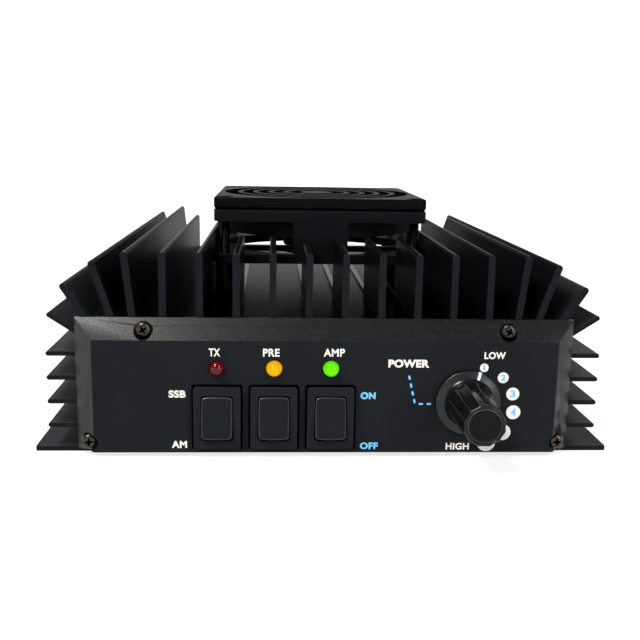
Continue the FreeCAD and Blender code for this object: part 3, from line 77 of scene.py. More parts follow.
# How near, in metres, loose corners of a CAD node's triangles are merged.
WELD = 3e-6
Point = tuple[float, float, float]
Pair = tuple[float, float]
Mesh = bpy.types.Mesh
Piece = bpy.types.Object
Build = bmesh.types.BMesh


# ---- small helpers
def srgb(code: str) -> tuple[float, float, float, float]:
    """Turn an sRGB hex value into a linear colour.

    Args:
        code: six hex digits with a leading hash.

    Returns:
        Linear red, green, blue and an alpha of 1.
    """
    parts = [int(code[at:at + 2], 16) / 255.0 for at in (1, 3, 5)]
    linear = [part / 12.92 if part <= 0.04045 else ((part + 0.055) / 1.055) ** 2.4 for part in parts]
    return (linear[0], linear[1], linear[2], 1.0)


def add_node(tree: Any, kind: str, values: Optional[dict] = None, links: Optional[dict] = None, **settings: Any) -> Any:
    """Add one node with its settings, socket values and links.

    Args:
        tree: the node tree.
        kind: the node's type name.
        values: socket name or number to value.
        links: socket name or number to the socket that feeds it.
        settings: attributes of the node itself.

    Returns:
        The node.
    """
    made = tree.nodes.new(kind)
    for name, setting in settings.items():
        setattr(made, name, setting)
    for name, value in (values or {}).items():
        made.inputs[name].default_value = value
    for name, source in (links or {}).items():
        tree.links.new(source, made.inputs[name])
    return made


def bare_tree(owner: Any) -> Any:
    """Give a material or a world an empty node tree."""
    owner.use_nodes = True
    owner.node_tree.nodes.clear()
    return owner.node_tree


# ---- finishes
class Surface(Enum):
    """How a surface was made, which decides the pattern that it shows."""

    MOULDED = "moulded"
    EXTRUDED = "extruded"
    SAWN = "sawn"
    POWDER = "powder"
    PRINTED = "printed"
    WOVEN = "woven"
    SINTERED = "sintered"


# How a surface's marks are drawn out along the axes, where they are longer one way, and how rich they are.
PLAIN: Point = (1.0, 1.0, 1.0)
STRETCH: dict[Surface, Point] = {Surface.EXTRUDED: (1.0, 0.015, 1.0), Surface.SAWN: (0.12, 1.0, 1.0)}
DETAIL: dict[Surface, float] = {Surface.SAWN: 5.0, Surface.EXTRUDED: 4.0, Surface.POWDER: 2.0}
# The size of the slow change of tone over a piece, and of a powder coat's flakes, in millimetres.
CLOUD_MM = 38.0
FLAKE_MM = 0.24


@dataclass(frozen=True)
class Finish:
    """A real material with the way its surface was made.

    Attributes:
        name: the material's common name.
        dark: sRGB hex of its low tone.
        light: sRGB hex of its high tone.
        rough: lowest and highest roughness.
        grain_mm: width of the finest mark.
        relief_mm: height of that mark.
        surface: how it was made.
        metallic: 1 for bare metal.
        ior: index of refraction of a plastic, paint or glass.
        specular: strength of the plain reflection.
        coat: strength of a clear layer.
        glow: sRGB hex of its own light, for a lit lamp, and a faint one as painted light on the unlit lamp.
        glow_strength: strength of that light.
        passes: share of light that goes through.
        flecks: sRGB hex of bright flakes in it.
        centre: where its pattern and glow are centred, in metres.
        edge: share of a dark metal's reflection that is left at a low angle.
    """

    name: str
    dark: str
    light: str
    rough: Pair
    grain_mm: float
    relief_mm: float
    surface: Surface = Surface.MOULDED
    metallic: float = 0.0
    ior: float = 1.5
    specular: float = 0.5
    coat: float = 0.0
    glow: str = ""
    glow_strength: float = 0.0
    passes: float = 0.0
    flecks: str = ""
    centre: Point = (0.0, 0.0, 0.0)
    edge: float = 1.0

    def material(self) -> bpy.types.Material:
        """Build the finish once, or return it if it is there."""
        found = bpy.data.materials.get(self.name)
        if found:
            return found
        material = bpy.data.materials.new(self.name)
        material.diffuse_color = srgb(self.light)
        tree = bare_tree(material)
        add = partial(add_node, tree)
        where = add("ShaderNodeTexCoord").outputs["Object"]
        frame = {"Location": [-part for part in self.centre], "Scale": STRETCH.get(self.surface, PLAIN)}
        fine = self.pattern(tree, add("ShaderNodeMapping", frame, {"Vector": where}).outputs["Vector"])
        cloud = {"Scale": 1.0 / (CLOUD_MM * MM), "Detail": 3.0, "Roughness": 0.55}
        broad = add("ShaderNodeTexNoise", cloud, {"Vector": where}).outputs["Fac"]
        blend = add("ShaderNodeMix", {"Factor": 0.35}, {"A": fine, "B": broad}, data_type="FLOAT").outputs["Result"]
        spread = add("ShaderNodeMapRange", {"From Min": 0.3, "From Max": 0.7}, {"Value": blend}).outputs["Result"]
        tones = {"A": srgb(self.dark), "B": srgb(self.light)}
        colour = add("ShaderNodeMix", tones, {"Factor": spread}, data_type="RGBA").outputs[2]
        if self.flecks:
            colour = self.fleck(tree, where, colour)
        rough = add("ShaderNodeMapRange", {"To Min": self.rough[0], "To Max": self.rough[1]}, {"Value": blend})
        bump = add("ShaderNodeBump", {"Strength": 0.8, "Distance": self.relief_mm * MM}, {"Height": fine})
        shader = add(
            "ShaderNodeBsdfPrincipled",
            {
                "Metallic": self.metallic,
                "Specular IOR Level": self.specular,
                "Specular Tint": (self.edge, self.edge, self.edge, 1.0),
                "Coat Weight": self.coat,
                "Coat Roughness": 0.12,
                "Transmission Weight": self.passes,
            },
            {"Base Color": colour, "Roughness": rough.outputs["Result"], "Normal": bump.outputs["Normal"]},
        )
        if self.metallic < 0.5:
            shader.inputs["IOR"].default_value = self.ior
        if self.glow:
            self.light_up(tree, where, shader)
        add("ShaderNodeOutputMaterial", links={"Surface": shader.outputs["BSDF"]})
        return material

    def pattern(self, tree: Any, vector: Any) -> Any:
        """Build the finest pattern of the surface.

        Args:
            tree: the material's node tree.
            vector: the socket with the placed coordinates.

        Returns:
            The socket of a height from 0 to 1.
        """
        add = partial(add_node, tree)
        scale = 1.0 / (self.grain_mm * MM)
        where = {"Vector": vector}
        if self.surface is Surface.WOVEN:
            # A wave's own scale counts 20 radians, so that one thread is one grain wide.
            threads = [
                add("ShaderNodeTexWave", {"Scale": scale / 20.0}, where, bands_direction=way).outputs["Fac"]
                for way in ("X", "Y")
            ]
            return add("ShaderNodeMath", links=dict(enumerate(threads)), operation="MULTIPLY").outputs[0]
        grain = {"Scale": scale, "Detail": DETAIL.get(self.surface, 3.0), "Roughness": 0.6}
        return add("ShaderNodeTexNoise", grain, where).outputs["Fac"]

    def fleck(self, tree: Any, vector: Any, under: Any) -> Any:
        """Scatter bright flakes over a colour, as in a structured powder coat.

        Args:
            tree: the material's node tree.
            vector: the socket with the object coordinates.
            under: the socket of the colour below.

        Returns:
            The socket of the mixed colour.
        """
        add = partial(add_node, tree)
        cells = add("ShaderNodeTexVoronoi", {"Scale": 1.0 / (FLAKE_MM * MM), "Randomness": 1.0}, {"Vector": vector})
        pick = add("ShaderNodeSeparateColor", links={"Color": cells.outputs["Color"]}).outputs["Red"]
        reach = {"From Min": 0.82, "From Max": 1.0, "To Max": 0.3}
        bright = add("ShaderNodeMapRange", reach, {"Value": pick}).outputs["Result"]
        layers = {"Factor": bright, "A": under}
        return add("ShaderNodeMix", {"B": srgb(self.flecks)}, layers, data_type="RGBA").outputs[2]

    def light_up(self, tree: Any, vector: Any, shader: Any) -> None:
        """Give a lamp its own light, strongest near its axis; on the unlit red lamp this glow is painted light.

        Args:
            tree: the material's node tree.
            vector: the socket with the object coordinates.
            shader: the principled shader.
        """
        add = partial(add_node, tree)
        away = add("ShaderNodeVectorMath", {1: self.centre}, {0: vector}, operation="DISTANCE").outputs["Value"]
        fade = {"From Min": 0.9 * MM, "From Max": 3.1 * MM}
        fade |= {"To Min": self.glow_strength, "To Max": self.glow_strength * 0.62}
        fall = add("ShaderNodeMapRange", fade, {"Value": away}).outputs["Result"]
        shader.inputs["Emission Color"].default_value = srgb(self.glow)
        tree.links.new(fall, shader.inputs["Emission Strength"])


# Aluminium extrusion, black anodised: a deep dyed oxide over fine die lines that run the length of the case.
ANODISED = Finish(
    "anodised_aluminium_extrusion", "#16171b", "#24252a", (0.26, 0.36), 0.45, 0.004, Surface.EXTRUDED, metallic=0.83,
    specular=0.03, edge=0.15
)
# The sawn ends of the same extrusion: greyer, with faint saw marks.
SAWN_END = Finish("anodised_aluminium_sawn", "#0f1014", "#191a1f", (0.46, 0.6), 0.35, 0.02, Surface.SAWN, specular=0.03)
# Its bevelled edges: lighter where the oxide is worn thin, and lighter still as a painted highlight where they catch
# the light.
EDGE_WEAR_AND_HIGHLIGHT = Finish(
    "anodised_aluminium_edge_wear_and_highlight", "#1f2023", "#424346", (0.3, 0.42), 0.6, 0.01, Surface.EXTRUDED, metallic=1.0, edge=0.5
)
# The tops of the side fins: the same oxide as a duller, non-metallic surface, which renders them lighter as painted
# light from above.
PAINTED_LIGHT_FIN_TOPS = Finish(
    "anodised_aluminium_painted_lit_tops", "#0c0e10", "#171a1d", (0.42, 0.56), 0.6, 0.006, Surface.EXTRUDED, specular=0.03
)
# The floor of the milled bay: cutter marks under the same oxide.
MILLED = Finish(
    "anodised_aluminium_milled", "#101010", "#1c1b1b", (0.19, 0.26), 0.6, 0.001, Surface.SAWN, metallic=0.9,
    specular=0.03, edge=0.13
)
# Front and rear panel: a flat charcoal paint on the face.
PANEL_FACE = Finish(
    "charcoal_panel_paint", "#131518", "#1c1f22", (0.5, 0.64), 0.22, 0.01, Surface.POWDER, specular=0.03
)
# The sloping rims of the panels: a coarser, sparkling powder coat.
PANEL_RIM = Finish(
    "charcoal_powder_coat", "#08090b", "#0d0f11", (0.22, 0.33), 0.3, 0.03, Surface.POWDER, specular=0.24,
    flecks="#3c3e40"
)
COVER = Finish(
    "anodised_aluminium_sheet", "#141416", "#222225", (0.38, 0.52), 0.5, 0.012, Surface.EXTRUDED, metallic=1.0,
    edge=0.5
)
# Dark nickel on steel screws, and a near-black painted shade for their recesses and other hollows.
DARK_NICKEL = Finish("dark_nickel_steel", "#1e1d1c", "#4c4842", (0.22, 0.4), 0.3, 0.01, metallic=1.0)
PAINTED_SHADE_BLACK = Finish("recess_painted_shade", "#020202", "#060606", (0.5, 0.6), 0.3, 0.01, specular=0.0)
BLACK_ZINC = Finish("black_zinc_steel", "#070708", "#121110", (0.3, 0.45), 0.4, 0.01, metallic=1.0, edge=0.6)
BRIGHT_NICKEL = Finish("nickel_plated_brass", "#a7a49c", "#c9c6be", (0.22, 0.36), 0.35, 0.002, metallic=1.0)
# The fan: a matt frame, a polished guard that stays black at a low angle but for its glints, and satin blades.
FAN_ABS = Finish("fan_frame_abs", "#08090c", "#0e0f12", (0.46, 0.6), 0.16, 0.01, specular=0.03)
GUARD_ABS = Finish(
    "fan_guard_abs", "#09090b", "#101013", (0.33, 0.41), 0.6, 0.003, metallic=0.78, specular=0.06, edge=0.06
)
BLADE_ABS = Finish("fan_blade_abs", "#0c0d10", "#15161a", (0.36, 0.5), 0.2, 0.01, specular=0.08)
SWITCH_PA = Finish("switch_housing_nylon", "#131619", "#1c1f22", (0.44, 0.58), 0.14, 0.008, specular=0.05)
ROCKER_ABS = Finish("rocker_abs", "#0f1215", "#171a1d", (0.36, 0.48), 0.18, 0.005, specular=0.06)
# The knob: a polished grip, a satin skirt and a matt cap.
KNOB_GLOSS = Finish("knob_polished_abs", "#050607", "#090a0c", (0.2, 0.3), 2.5, 0.0005, specular=0.24)
SKIRT_SATIN = Finish("knob_skirt_satin_abs", "#090a0c", "#101114", (0.28, 0.38), 0.4, 0.003, specular=0.3)
KNOB_CAP = Finish("knob_cap_matt_abs", "#090b0d", "#101316", (0.36, 0.48), 0.12, 0.005, specular=0.06)
# Edges and ridges that a mould leaves crisp, painted lighter as a highlight along them.
PAINTED_HIGHLIGHT_ABS = Finish("abs_edge_painted_highlight", "#1b1c1f", "#2e3033", (0.24, 0.36), 0.4, 0.003, specular=0.5)
WHITE_INK = Finish("white_screen_ink", "#d6cfca", "#e8e1dc", (0.5, 0.64), 0.2, 0.01, Surface.PRINTED)
BLUE_INK = Finish("light_blue_screen_ink", "#55a6da", "#6cbaf0", (0.5, 0.64), 0.2, 0.01, Surface.PRINTED)
# Unlit lamp: deep red epoxy, with a faint glow of its own as painted light that deepens its red. Lit ones: the colour
# of the light over a darker body.
RED_LENS = Finish(
    "red_diffused_epoxy", "#2e0101", "#4a0202", (0.03, 0.06), 0.8, 0.0008, specular=0.26, glow="#6a0200",
    glow_strength=0.34, centre=(-0.0354, -0.1028, 0.0297)
)
AMBER_LENS = Finish(
    "amber_diffused_epoxy", "#4a2800", "#5c3200", (0.03, 0.06), 0.8, 0.0008, specular=0.1, glow="#ffb600",
    glow_strength=1.05, centre=(-0.01713, -0.1028, 0.0297)
)
GREEN_LENS = Finish(
    "green_diffused_epoxy", "#0a3600", "#0e4400", (0.03, 0.06), 0.8, 0.0008, specular=0.1, glow="#70ff00",
    glow_strength=1.0, centre=(0.00114, -0.1028, 0.0297)
)
TURNED_ALLOY = Finish(
    "turned_aluminium", "#8d8e91", "#b2b3b6", (0.28, 0.42), 0.3, 0.008, Surface.EXTRUDED, metallic=1.0
)
BLACK_SPACER = Finish("black_anodised_tube", "#0a0a0b", "#151516", (0.34, 0.48), 0.4, 0.008, specular=0.2)
GROUND_STEEL = Finish("ground_steel", "#8f9094", "#b8b9bc", (0.2, 0.34), 0.25, 0.006, Surface.EXTRUDED, metallic=1.0)
LAMINATION = Finish(
    "stacked_lamination_steel", "#55565a", "#7d7e82", (0.38, 0.54), 0.35, 0.02, Surface.SAWN, metallic=1.0
)
FERRITE = Finish("sintered_ferrite", "#17181b", "#2a2b2f", (0.5, 0.68), 0.4, 0.03, Surface.SINTERED)
TINNED = Finish("tinned_brass", "#a89a68", "#cfc8a6", (0.26, 0.42), 0.5, 0.01, metallic=1.0)
TIN_WIRE = Finish("tinned_copper_wire", "#9b9a94", "#c9c8c2", (0.24, 0.38), 0.4, 0.01, metallic=1.0)
PHENOLIC = Finish("moulded_phenolic", "#3a2415", "#5b3a22", (0.38, 0.55), 0.35, 0.02)
RESIST = Finish("green_resist_on_glass_fibre", "#0c3d1c", "#1d6a33", (0.26, 0.4), 0.9, 0.012, Surface.WOVEN, coat=0.2)
NYLON = Finish("natural_nylon", "#cfccbd", "#e7e4d8", (0.4, 0.55), 0.4, 0.01)
CERAMIC = Finish("transistor_ceramic", "#c9c2ae", "#e4dfd0", (0.4, 0.56), 0.3, 0.01, Surface.SINTERED)
RELAY_CASE = Finish("relay_polyester", "#1a2030", "#28324a", (0.26, 0.38), 0.3, 0.01)
ENAMEL_WIRE = Finish("enamelled_copper", "#7c3410", "#b35a22", (0.18, 0.3), 0.5, 0.004, metallic=1.0, coat=0.5)
SLEEVE = Finish("capacitor_sleeve_pvc", "#101a3a", "#1c2a58", (0.2, 0.34), 0.5, 0.008)
HOLDER = Finish("fuse_holder_nylon", "#141414", "#202021", (0.4, 0.55), 0.2, 0.012)
FUSE_PC = Finish("blue_fuse_polycarbonate", "#1b4f9e", "#3a7fd0", (0.14, 0.26), 0.6, 0.004, ior=1.58, passes=0.3)
PTFE = Finish("white_ptfe", "#dcd9d0", "#f0ede6", (0.34, 0.48), 0.4, 0.008)
RUBBER = Finish("moulded_rubber", "#0e0e0f", "#1b1b1c", (0.6, 0.76), 0.3, 0.02, specular=0.3)


# ---- mesh helpers
def new_piece(name: str, mesh: Mesh, finishes: Sequence[Finish] = ()) -> Piece:
    """Put a mesh into the scene as a piece at the origin.

    Args:
        name: the piece's name.
        mesh: its mesh, already in place.
        finishes: the finishes of its material slots.

    Returns:
        The new object.
    """
    piece = bpy.data.objects.new(name, mesh)
    bpy.context.scene.collection.objects.link(piece)
    for finish in finishes:
        mesh.materials.append(finish.material())
    return piece


def mesh_of(name: str, build: Build) -> Mesh:
    """Turn a bmesh into a mesh with its faces turned outwards, and free it."""
    bmesh.ops.remove_doubles(build, verts=build.verts, dist=1e-6)
    bmesh.ops.recalc_face_normals(build, faces=build.faces)
    mesh = bpy.data.meshes.new(name)
    build.to_mesh(mesh)
    build.free()
    return mesh


@contextmanager
def editing(mesh: Mesh) -> Iterator[Build]:
    """Open a mesh as a bmesh, and write it back at the end."""
    build = bmesh.new()
    build.from_mesh(mesh)
    yield build
    build.to_mesh(mesh)
    build.free()


def paint(mesh: Mesh, choose: Callable[[Vector, Vector], int]) -> None:
    """Give each face the material slot that is chosen from its middle, in millimetres, and its normal."""
    for face in mesh.polygons:
        face.material_index = int(choose(face.center / MM, face.normal))


def smooth(mesh: Mesh, degrees: float = 35.0) -> None:
    """Shade a mesh smoothly, with edges sharper than an angle kept crisp."""
    mesh.polygons.foreach_set("use_smooth", [True] * len(mesh.polygons))
    mesh.set_sharp_from_angle(angle=math.radians(degrees))


def bevelled(piece: Piece, width_mm: float, segments: int, edge_slot: int = -1, degrees: float = 28.0) -> None:
    """Round a piece's edges with a live bevel.

    Args:
        piece: the object.
        width_mm: the bevel's width.
        segments: how many strips it has.
        edge_slot: material slot of the rounded edge, or -1 to keep its neighbours'.
        degrees: the least angle of an edge that is rounded.
    """
    bevel = piece.modifiers.new("rounded_edges", "BEVEL")
    bevel.width = width_mm * MM
    bevel.segments = segments
    bevel.limit_method = "ANGLE"
    bevel.angle_limit = math.radians(degrees)
    bevel.harden_normals = True
    bevel.use_clamp_overlap = True
    bevel.miter_outer = "MITER_SHARP"
    bevel.material = edge_slot


def skin(build: Build, rings: Sequence[list]) -> None:
    """Join each closed ring of points to the next with four-sided faces."""
    for low, high in zip(rings, rings[1:]):
        for here in range(len(low)):
            after = (here + 1) % len(low)
            build.faces.new((low[here], low[after], high[after], high[here]))


def lathe(
    build: Build, profile: Sequence[Pair], steps: int, shape: Optional[Callable[[float, float, float], float]] = None
) -> None:
    """Turn a closed profile of (radius, height) about +Z.

    Args:
        build: the bmesh that takes the faces.
        profile: points in millimetres, first and last on the axis or joined to each other.
        steps: how many strips go round.
        shape: gives the radius from (radius, height, angle), for flutes.
    """
    rings = []
    for radius, height in profile:
        ring = []
        for step in range(steps):
            angle = 2.0 * math.pi * step / steps
            reach = shape(radius, height, angle) if shape else radius
            ring.append(build.verts.new((reach * math.cos(angle) * MM, reach * math.sin(angle) * MM, height * MM)))
        rings.append(ring)
    skin(build, rings)
    for ring in (rings[0], rings[-1]):
        if (ring[0].co.xy.length > 1e-9) and (rings[0][0].co - rings[-1][0].co).length > 1e-9:
            build.faces.new(ring)


def point_forward(build: Build, at: Point, backwards: bool = False) -> None:
    """Lay a +Z piece along -Y, or along +Y, and move it to its place in millimetres."""
    angle = math.radians(-90.0 if backwards else 90.0)
    turn = Matrix.Rotation(angle, 4, "X")
    bmesh.ops.transform(build, matrix=Matrix.Translation(Vector(at) * MM) @ turn, verts=build.verts)


def arc(centre: Pair, radius: float, steps: int, degrees: float = 90.0, first: int = 1) -> list[Pair]:
    """Give the points of an arc that starts straight out from its centre and turns upwards.

    Args:
        centre: its centre, as radius and height.
        radius: its own radius.
        steps: how many chords it has.
        degrees: how far it turns.
        first: 0 to begin with its first point, or 1 to leave that out.

    Returns:
        Pairs of radius and height.
    """
    turns = [math.radians(degrees * step / steps) for step in range(first, steps + 1)]
    return [(centre[0] + radius * math.cos(turn), centre[1] + radius * math.sin(turn)) for turn in turns]


def turned(
    name: str,
    profile: Sequence[Pair],
    steps: int,
    at: Point,
    degrees: float,
    shape: Optional[Callable[[float, float, float], float]] = None,
    backwards: bool = False,
) -> Mesh:
    """Turn a profile into a smooth mesh that lies along Y.

    Args:
        name: the mesh's name.
        profile: closed profile of radius and height.
        steps: how many strips go round.
        at: where its foot stands, in millimetres.
        degrees: the least angle of an edge that stays crisp.
        shape: gives the radius from (radius, height, angle), for flutes.
        backwards: whether it points to the rear.

    Returns:
        The mesh, in place.
    """
    build = bmesh.new()
    lathe(build, profile, steps, shape)
    point_forward(build, at, backwards)
    mesh = mesh_of(name, build)
    smooth(mesh, degrees)
    return mesh


# ---- Geometry Nodes
@dataclass
class Scatter:
    """A Geometry Nodes tree that repeats an item over an object's points or path.

    Attributes:
        name: name of the tree and of the mesh it makes.
        base: the object that the tree starts from, which is deleted at the end.
        item: what is repeated; its second material slot keeps its own finish.
        finish: the finish of the rest.
        inputs: kind and value of the tree's other inputs, by name.
    """

    name: str
    base: Piece
    item: Mesh
    finish: Finish
    inputs: dict[str, tuple[str, Any]]
    tree: Any = field(init=False)
    start: Any = field(init=False)

    def __post_init__(self) -> None:
        """Start the tree with its named inputs and its output."""
        self.base.name = self.name + "_base"
        self.inputs |= {"Item": ("Object", new_piece(self.name + "_item", self.item))}
        self.inputs |= {"Finish": ("Material", self.finish.material())}
        self.tree = bpy.data.node_groups.new(self.name, "GeometryNodeTree")
        for label, kind, way in (
            ("Base", "Geometry", "INPUT"),
            *((label, kind, "INPUT") for label, (kind, _) in self.inputs.items()),
            ("Copies", "Geometry", "OUTPUT"),
        ):
            self.tree.interface.new_socket(label, in_out=way, socket_type="NodeSocket" + kind)
        self.start = add_node(self.tree, "NodeGroupInput").outputs

    def stand_on(self, points: Any, turn: Any) -> Any:
        """Stand the item on the points of a socket, turned as another says, and return the copies' socket."""
        shape = add_node(self.tree, "GeometryNodeObjectInfo", links={"Object": self.start["Item"]})
        links = {"Points": points, "Instance": shape.outputs["Geometry"], "Rotation": turn}
        return add_node(self.tree, "GeometryNodeInstanceOnPoints", links=links).outputs["Instances"]

    def mesh(self, copies: Any) -> Mesh:
        """End the tree, run it and keep what it makes as a plain mesh.

        Args:
            copies: the socket of the copies.

        Returns:
            The realized mesh.
        """
        add = partial(add_node, self.tree)
        real = add("GeometryNodeRealizeInstances", links={"Geometry": copies}).outputs["Geometry"]
        slot = add("GeometryNodeInputMaterialIndex").outputs[0]
        first = add("FunctionNodeCompare", links={2: slot}, data_type="INT", operation="EQUAL").outputs[0]
        links = {"Geometry": real, "Selection": first, "Material": self.start["Finish"]}
        add("NodeGroupOutput", links={"Copies": add("GeometryNodeSetMaterial", links=links).outputs["Geometry"]})
        modifier = self.base.modifiers.new(self.name, "NODES")
        modifier.node_group = self.tree
        for socket in self.tree.interface.items_tree:
            if socket.name in self.inputs:
                modifier[socket.identifier] = self.inputs[socket.name][1]
        bpy.context.view_layer.update()
        mesh = bpy.data.meshes.new_from_object(self.base.evaluated_get(bpy.context.evaluated_depsgraph_get()))
        mesh.name = self.name
        self.base.modifiers.remove(modifier)
        for helper in (self.inputs["Item"][1], self.base):
            bpy.data.objects.remove(helper)
        return mesh


def repeat(name: str, item: Mesh, points: Sequence[Point], finish: Finish, turn: Point, spin: float) -> Mesh:
    """Place copies of a mesh on points.

    Args:
        name: name of the tree and the mesh.
        item: what is repeated, around its own origin.
        points: where the copies go, in millimetres.
        finish: their finish.
        turn: rotation of each copy, in degrees.
        spin: extra turn about the item's own +Z from one copy to the next, in degrees.

    Returns:
        The realized mesh.
    """
    dots = bpy.data.meshes.new(name + "_points")
    dots.from_pydata([Vector(point) * MM for point in points], [], [])
    inputs = {"Turn": ("Vector", [math.radians(part) for part in turn]), "Spin": ("Float", math.radians(spin))}
    copier = Scatter(name, new_piece(name, dots), item, finish, inputs)
    add = partial(add_node, copier.tree)
    places = add("GeometryNodeMeshToPoints", links={"Mesh": copier.start["Base"]}).outputs["Points"]
    copies = copier.stand_on(places, copier.start["Turn"])
    index = add("GeometryNodeInputIndex").outputs["Index"]
    amount = add("ShaderNodeMath", links={0: index, 1: copier.start["Spin"]}, operation="MULTIPLY").outputs[0]
    about = add("ShaderNodeCombineXYZ", links={"Z": amount}).outputs["Vector"]
    spun = add("GeometryNodeRotateInstances", {"Local Space": True}, {"Instances": copies, "Rotation": about})
    return copier.mesh(spun.outputs["Instances"])


# ---- workshop
@dataclass
class Workshop:
    """Holds the loaded frame and fits finished pieces to it."""

    frame: dict
    slots: dict[str, str] = field(default_factory=dict)
    owners: dict[str, str] = field(default_factory=dict)

    def __post_init__(self) -> None:
        """Note each node's material slot and body."""
        record = self.frame["record"]
        self.slots = {row["node"]: row["material_slot"] for row in record["subparts"]}
        for body, members in record["behaviour"]["bodies"].items():
            for node in members:
                self.owners[node] = body

    def fit(self, piece: Piece, node: str) -> Piece:
        """Let a piece ride on its node's body and stand for the node.

        Args:
            piece: the finished object.
            node: the CAD node it replaces.

        Returns:
            The same object.
        """
        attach(piece, self.owners[node])
        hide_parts(node)
        log.info("%s: %d faces, stands for %s", piece.name, len(piece.data.polygons), node)
        return piece

    def attach(self, piece: Piece, body: str) -> None:
        """Let an extra piece ride on a body."""
        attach(piece, body)
        log.info("%s: %d faces, rides on %s", piece.name, len(piece.data.polygons), body)

    def copy_of(self, node: str) -> Mesh:
        """Copy a node's mesh and merge its loose triangles into clean faces."""
        mesh = self.frame["nodes"][node].data.copy()
        mesh.materials.clear()
        with editing(mesh) as build:
            bmesh.ops.remove_doubles(build, verts=build.verts, dist=WELD)
            flat = math.radians(0.6)
            bmesh.ops.dissolve_limit(build, angle_limit=flat, verts=build.verts, edges=build.edges, delimit={"NORMAL"})
        mesh.name = node + "_finished"
        return mesh

    def dress(
        self,
        node: str,
        finish: Finish,
        bevel_mm: float = 0.0,
        segments: int = 2,
        shape: Optional[Mesh] = None,
    ) -> Piece:
        """Finish a copy of a node: merged, rounded and given its material.

        Args:
            node: the CAD node.
            finish: its main finish.
            bevel_mm: width of its rounded edges.
            segments: strips of the rounding.
            shape: its mesh, where it isn't a plain copy of the node's.

        Returns:
            The new piece.
        """
        mesh = shape or self.copy_of(node)
        piece = new_piece(node + "_finished", mesh, (finish,))
        paint(mesh, lambda middle, normal: 0)
        smooth(mesh)
        if bevel_mm > 0.0:
            bevelled(piece, bevel_mm, segments)
        else:
            piece.modifiers.new("even_normals", "WEIGHTED_NORMAL").keep_sharp = True
        return self.fit(piece, node)

    def dress_all(self, rows: Iterable[tuple[str, Finish, float]], segments: int = 2) -> None:
        """Dress plain nodes, from rows of the node, its finish and the width of its rounding."""
        for node, finish, bevel in rows:
            self.dress(node, finish, bevel, segments)


# ---- fasteners
@dataclass(frozen=True)
class PanHead:
    """A cross-recessed pan head, modelled around its seat with +Z outwards."""

    radius: float = 2.7
    height: float = 2.2
    arm: float = 1.3
    arm_half: float = 0.36
    deep: float = 1.3
    shank_radius: float = 1.2
    shank: float = 6.0
    thread_pitch: float = 0.0
    around: int = 128
    rings: int = 34

    def sink(self, x: float, y: float) -> float:
        """Share of the recess's full depth at a point of the head."""
        share = 0.0
        for across, along in ((abs(x), abs(y)), (abs(y), abs(x))):
            half = self.arm_half * (1.0 - 0.35 * along / self.arm)
            side = min(1.0, max(0.0, (half - across) / 0.12 + 0.5))
            end = min(1.0, max(0.0, (self.arm - along) / 0.3))
            share = max(share, side * end)
        return share

    def top(self, x: float, y: float) -> float:
        """Height of the head's top at a point, with the recess taken out."""
        share = min(1.0, math.hypot(x, y) / self.radius)
        dome = self.height * (1.0 - 0.2 * share * share) * math.sqrt(max(0.0, 1.0 - share ** 7))
        return dome - self.deep * self.sink(x, y)

    def ring(self, build: Build, radius: float, level: Optional[float]) -> list:
        """Add one ring of points, on the dome or at a level below it."""
        row = []
        for step in range(self.around):
            angle = 2.0 * math.pi * step / self.around
            x, y = radius * math.cos(angle), radius * math.sin(angle)
            height = max(0.0, self.top(x, y)) if level is None else level
            row.append(build.verts.new((x * MM, y * MM, height * MM)))
        return row

    def mesh(self, name: str) -> Mesh:
        """Build the head and its shank as one closed mesh, with the recess in its own slot."""
        build = bmesh.new()
        centre = build.verts.new((0.0, 0.0, self.top(0.0, 0.0) * MM))
        rows = [self.ring(build, self.radius * step / self.rings, None) for step in range(1, self.rings + 1)]
        rows.append(self.ring(build, self.radius, -0.05))
        rows.append(self.ring(build, self.shank_radius, -0.05))
        level = -0.4
        while self.thread_pitch and level - self.thread_pitch > -self.shank:
            rows.append(self.ring(build, self.shank_radius, level))
            rows.append(self.ring(build, self.shank_radius - 0.22, level - self.thread_pitch / 2.0))
            level -= self.thread_pitch
        rows.append(self.ring(build, self.shank_radius, level))
        rows.append(self.ring(build, self.shank_radius, -self.shank))
        for step in range(self.around):
            build.faces.new((centre, rows[0][step], rows[0][(step + 1) % self.around]))
        for low, high in zip(rows, rows[1:]):
            for step in range(self.around):
                after = (step + 1) % self.around
                build.faces.new((low[step], high[step], high[after], low[after]))
        build.faces.new(rows[-1])
        # Faces deep in the recess take slot 1, painted black as shade.
        for face in build.faces:
            middle = face.calc_center_median() / MM
            face.material_index = 1 if middle.z > 0.1 and self.sink(middle.x, middle.y) > 0.4 else 0
        made = mesh_of(name, build)
        smooth(made, 50.0)
        return made


LONG_SCREW = PanHead(
    radius=3.1,
    height=2.1,
    arm=1.6,
    arm_half=0.42,
    shank_radius=1.85,
    shank=36.3,
    thread_pitch=0.8,
    around=64,
    rings=24,
)


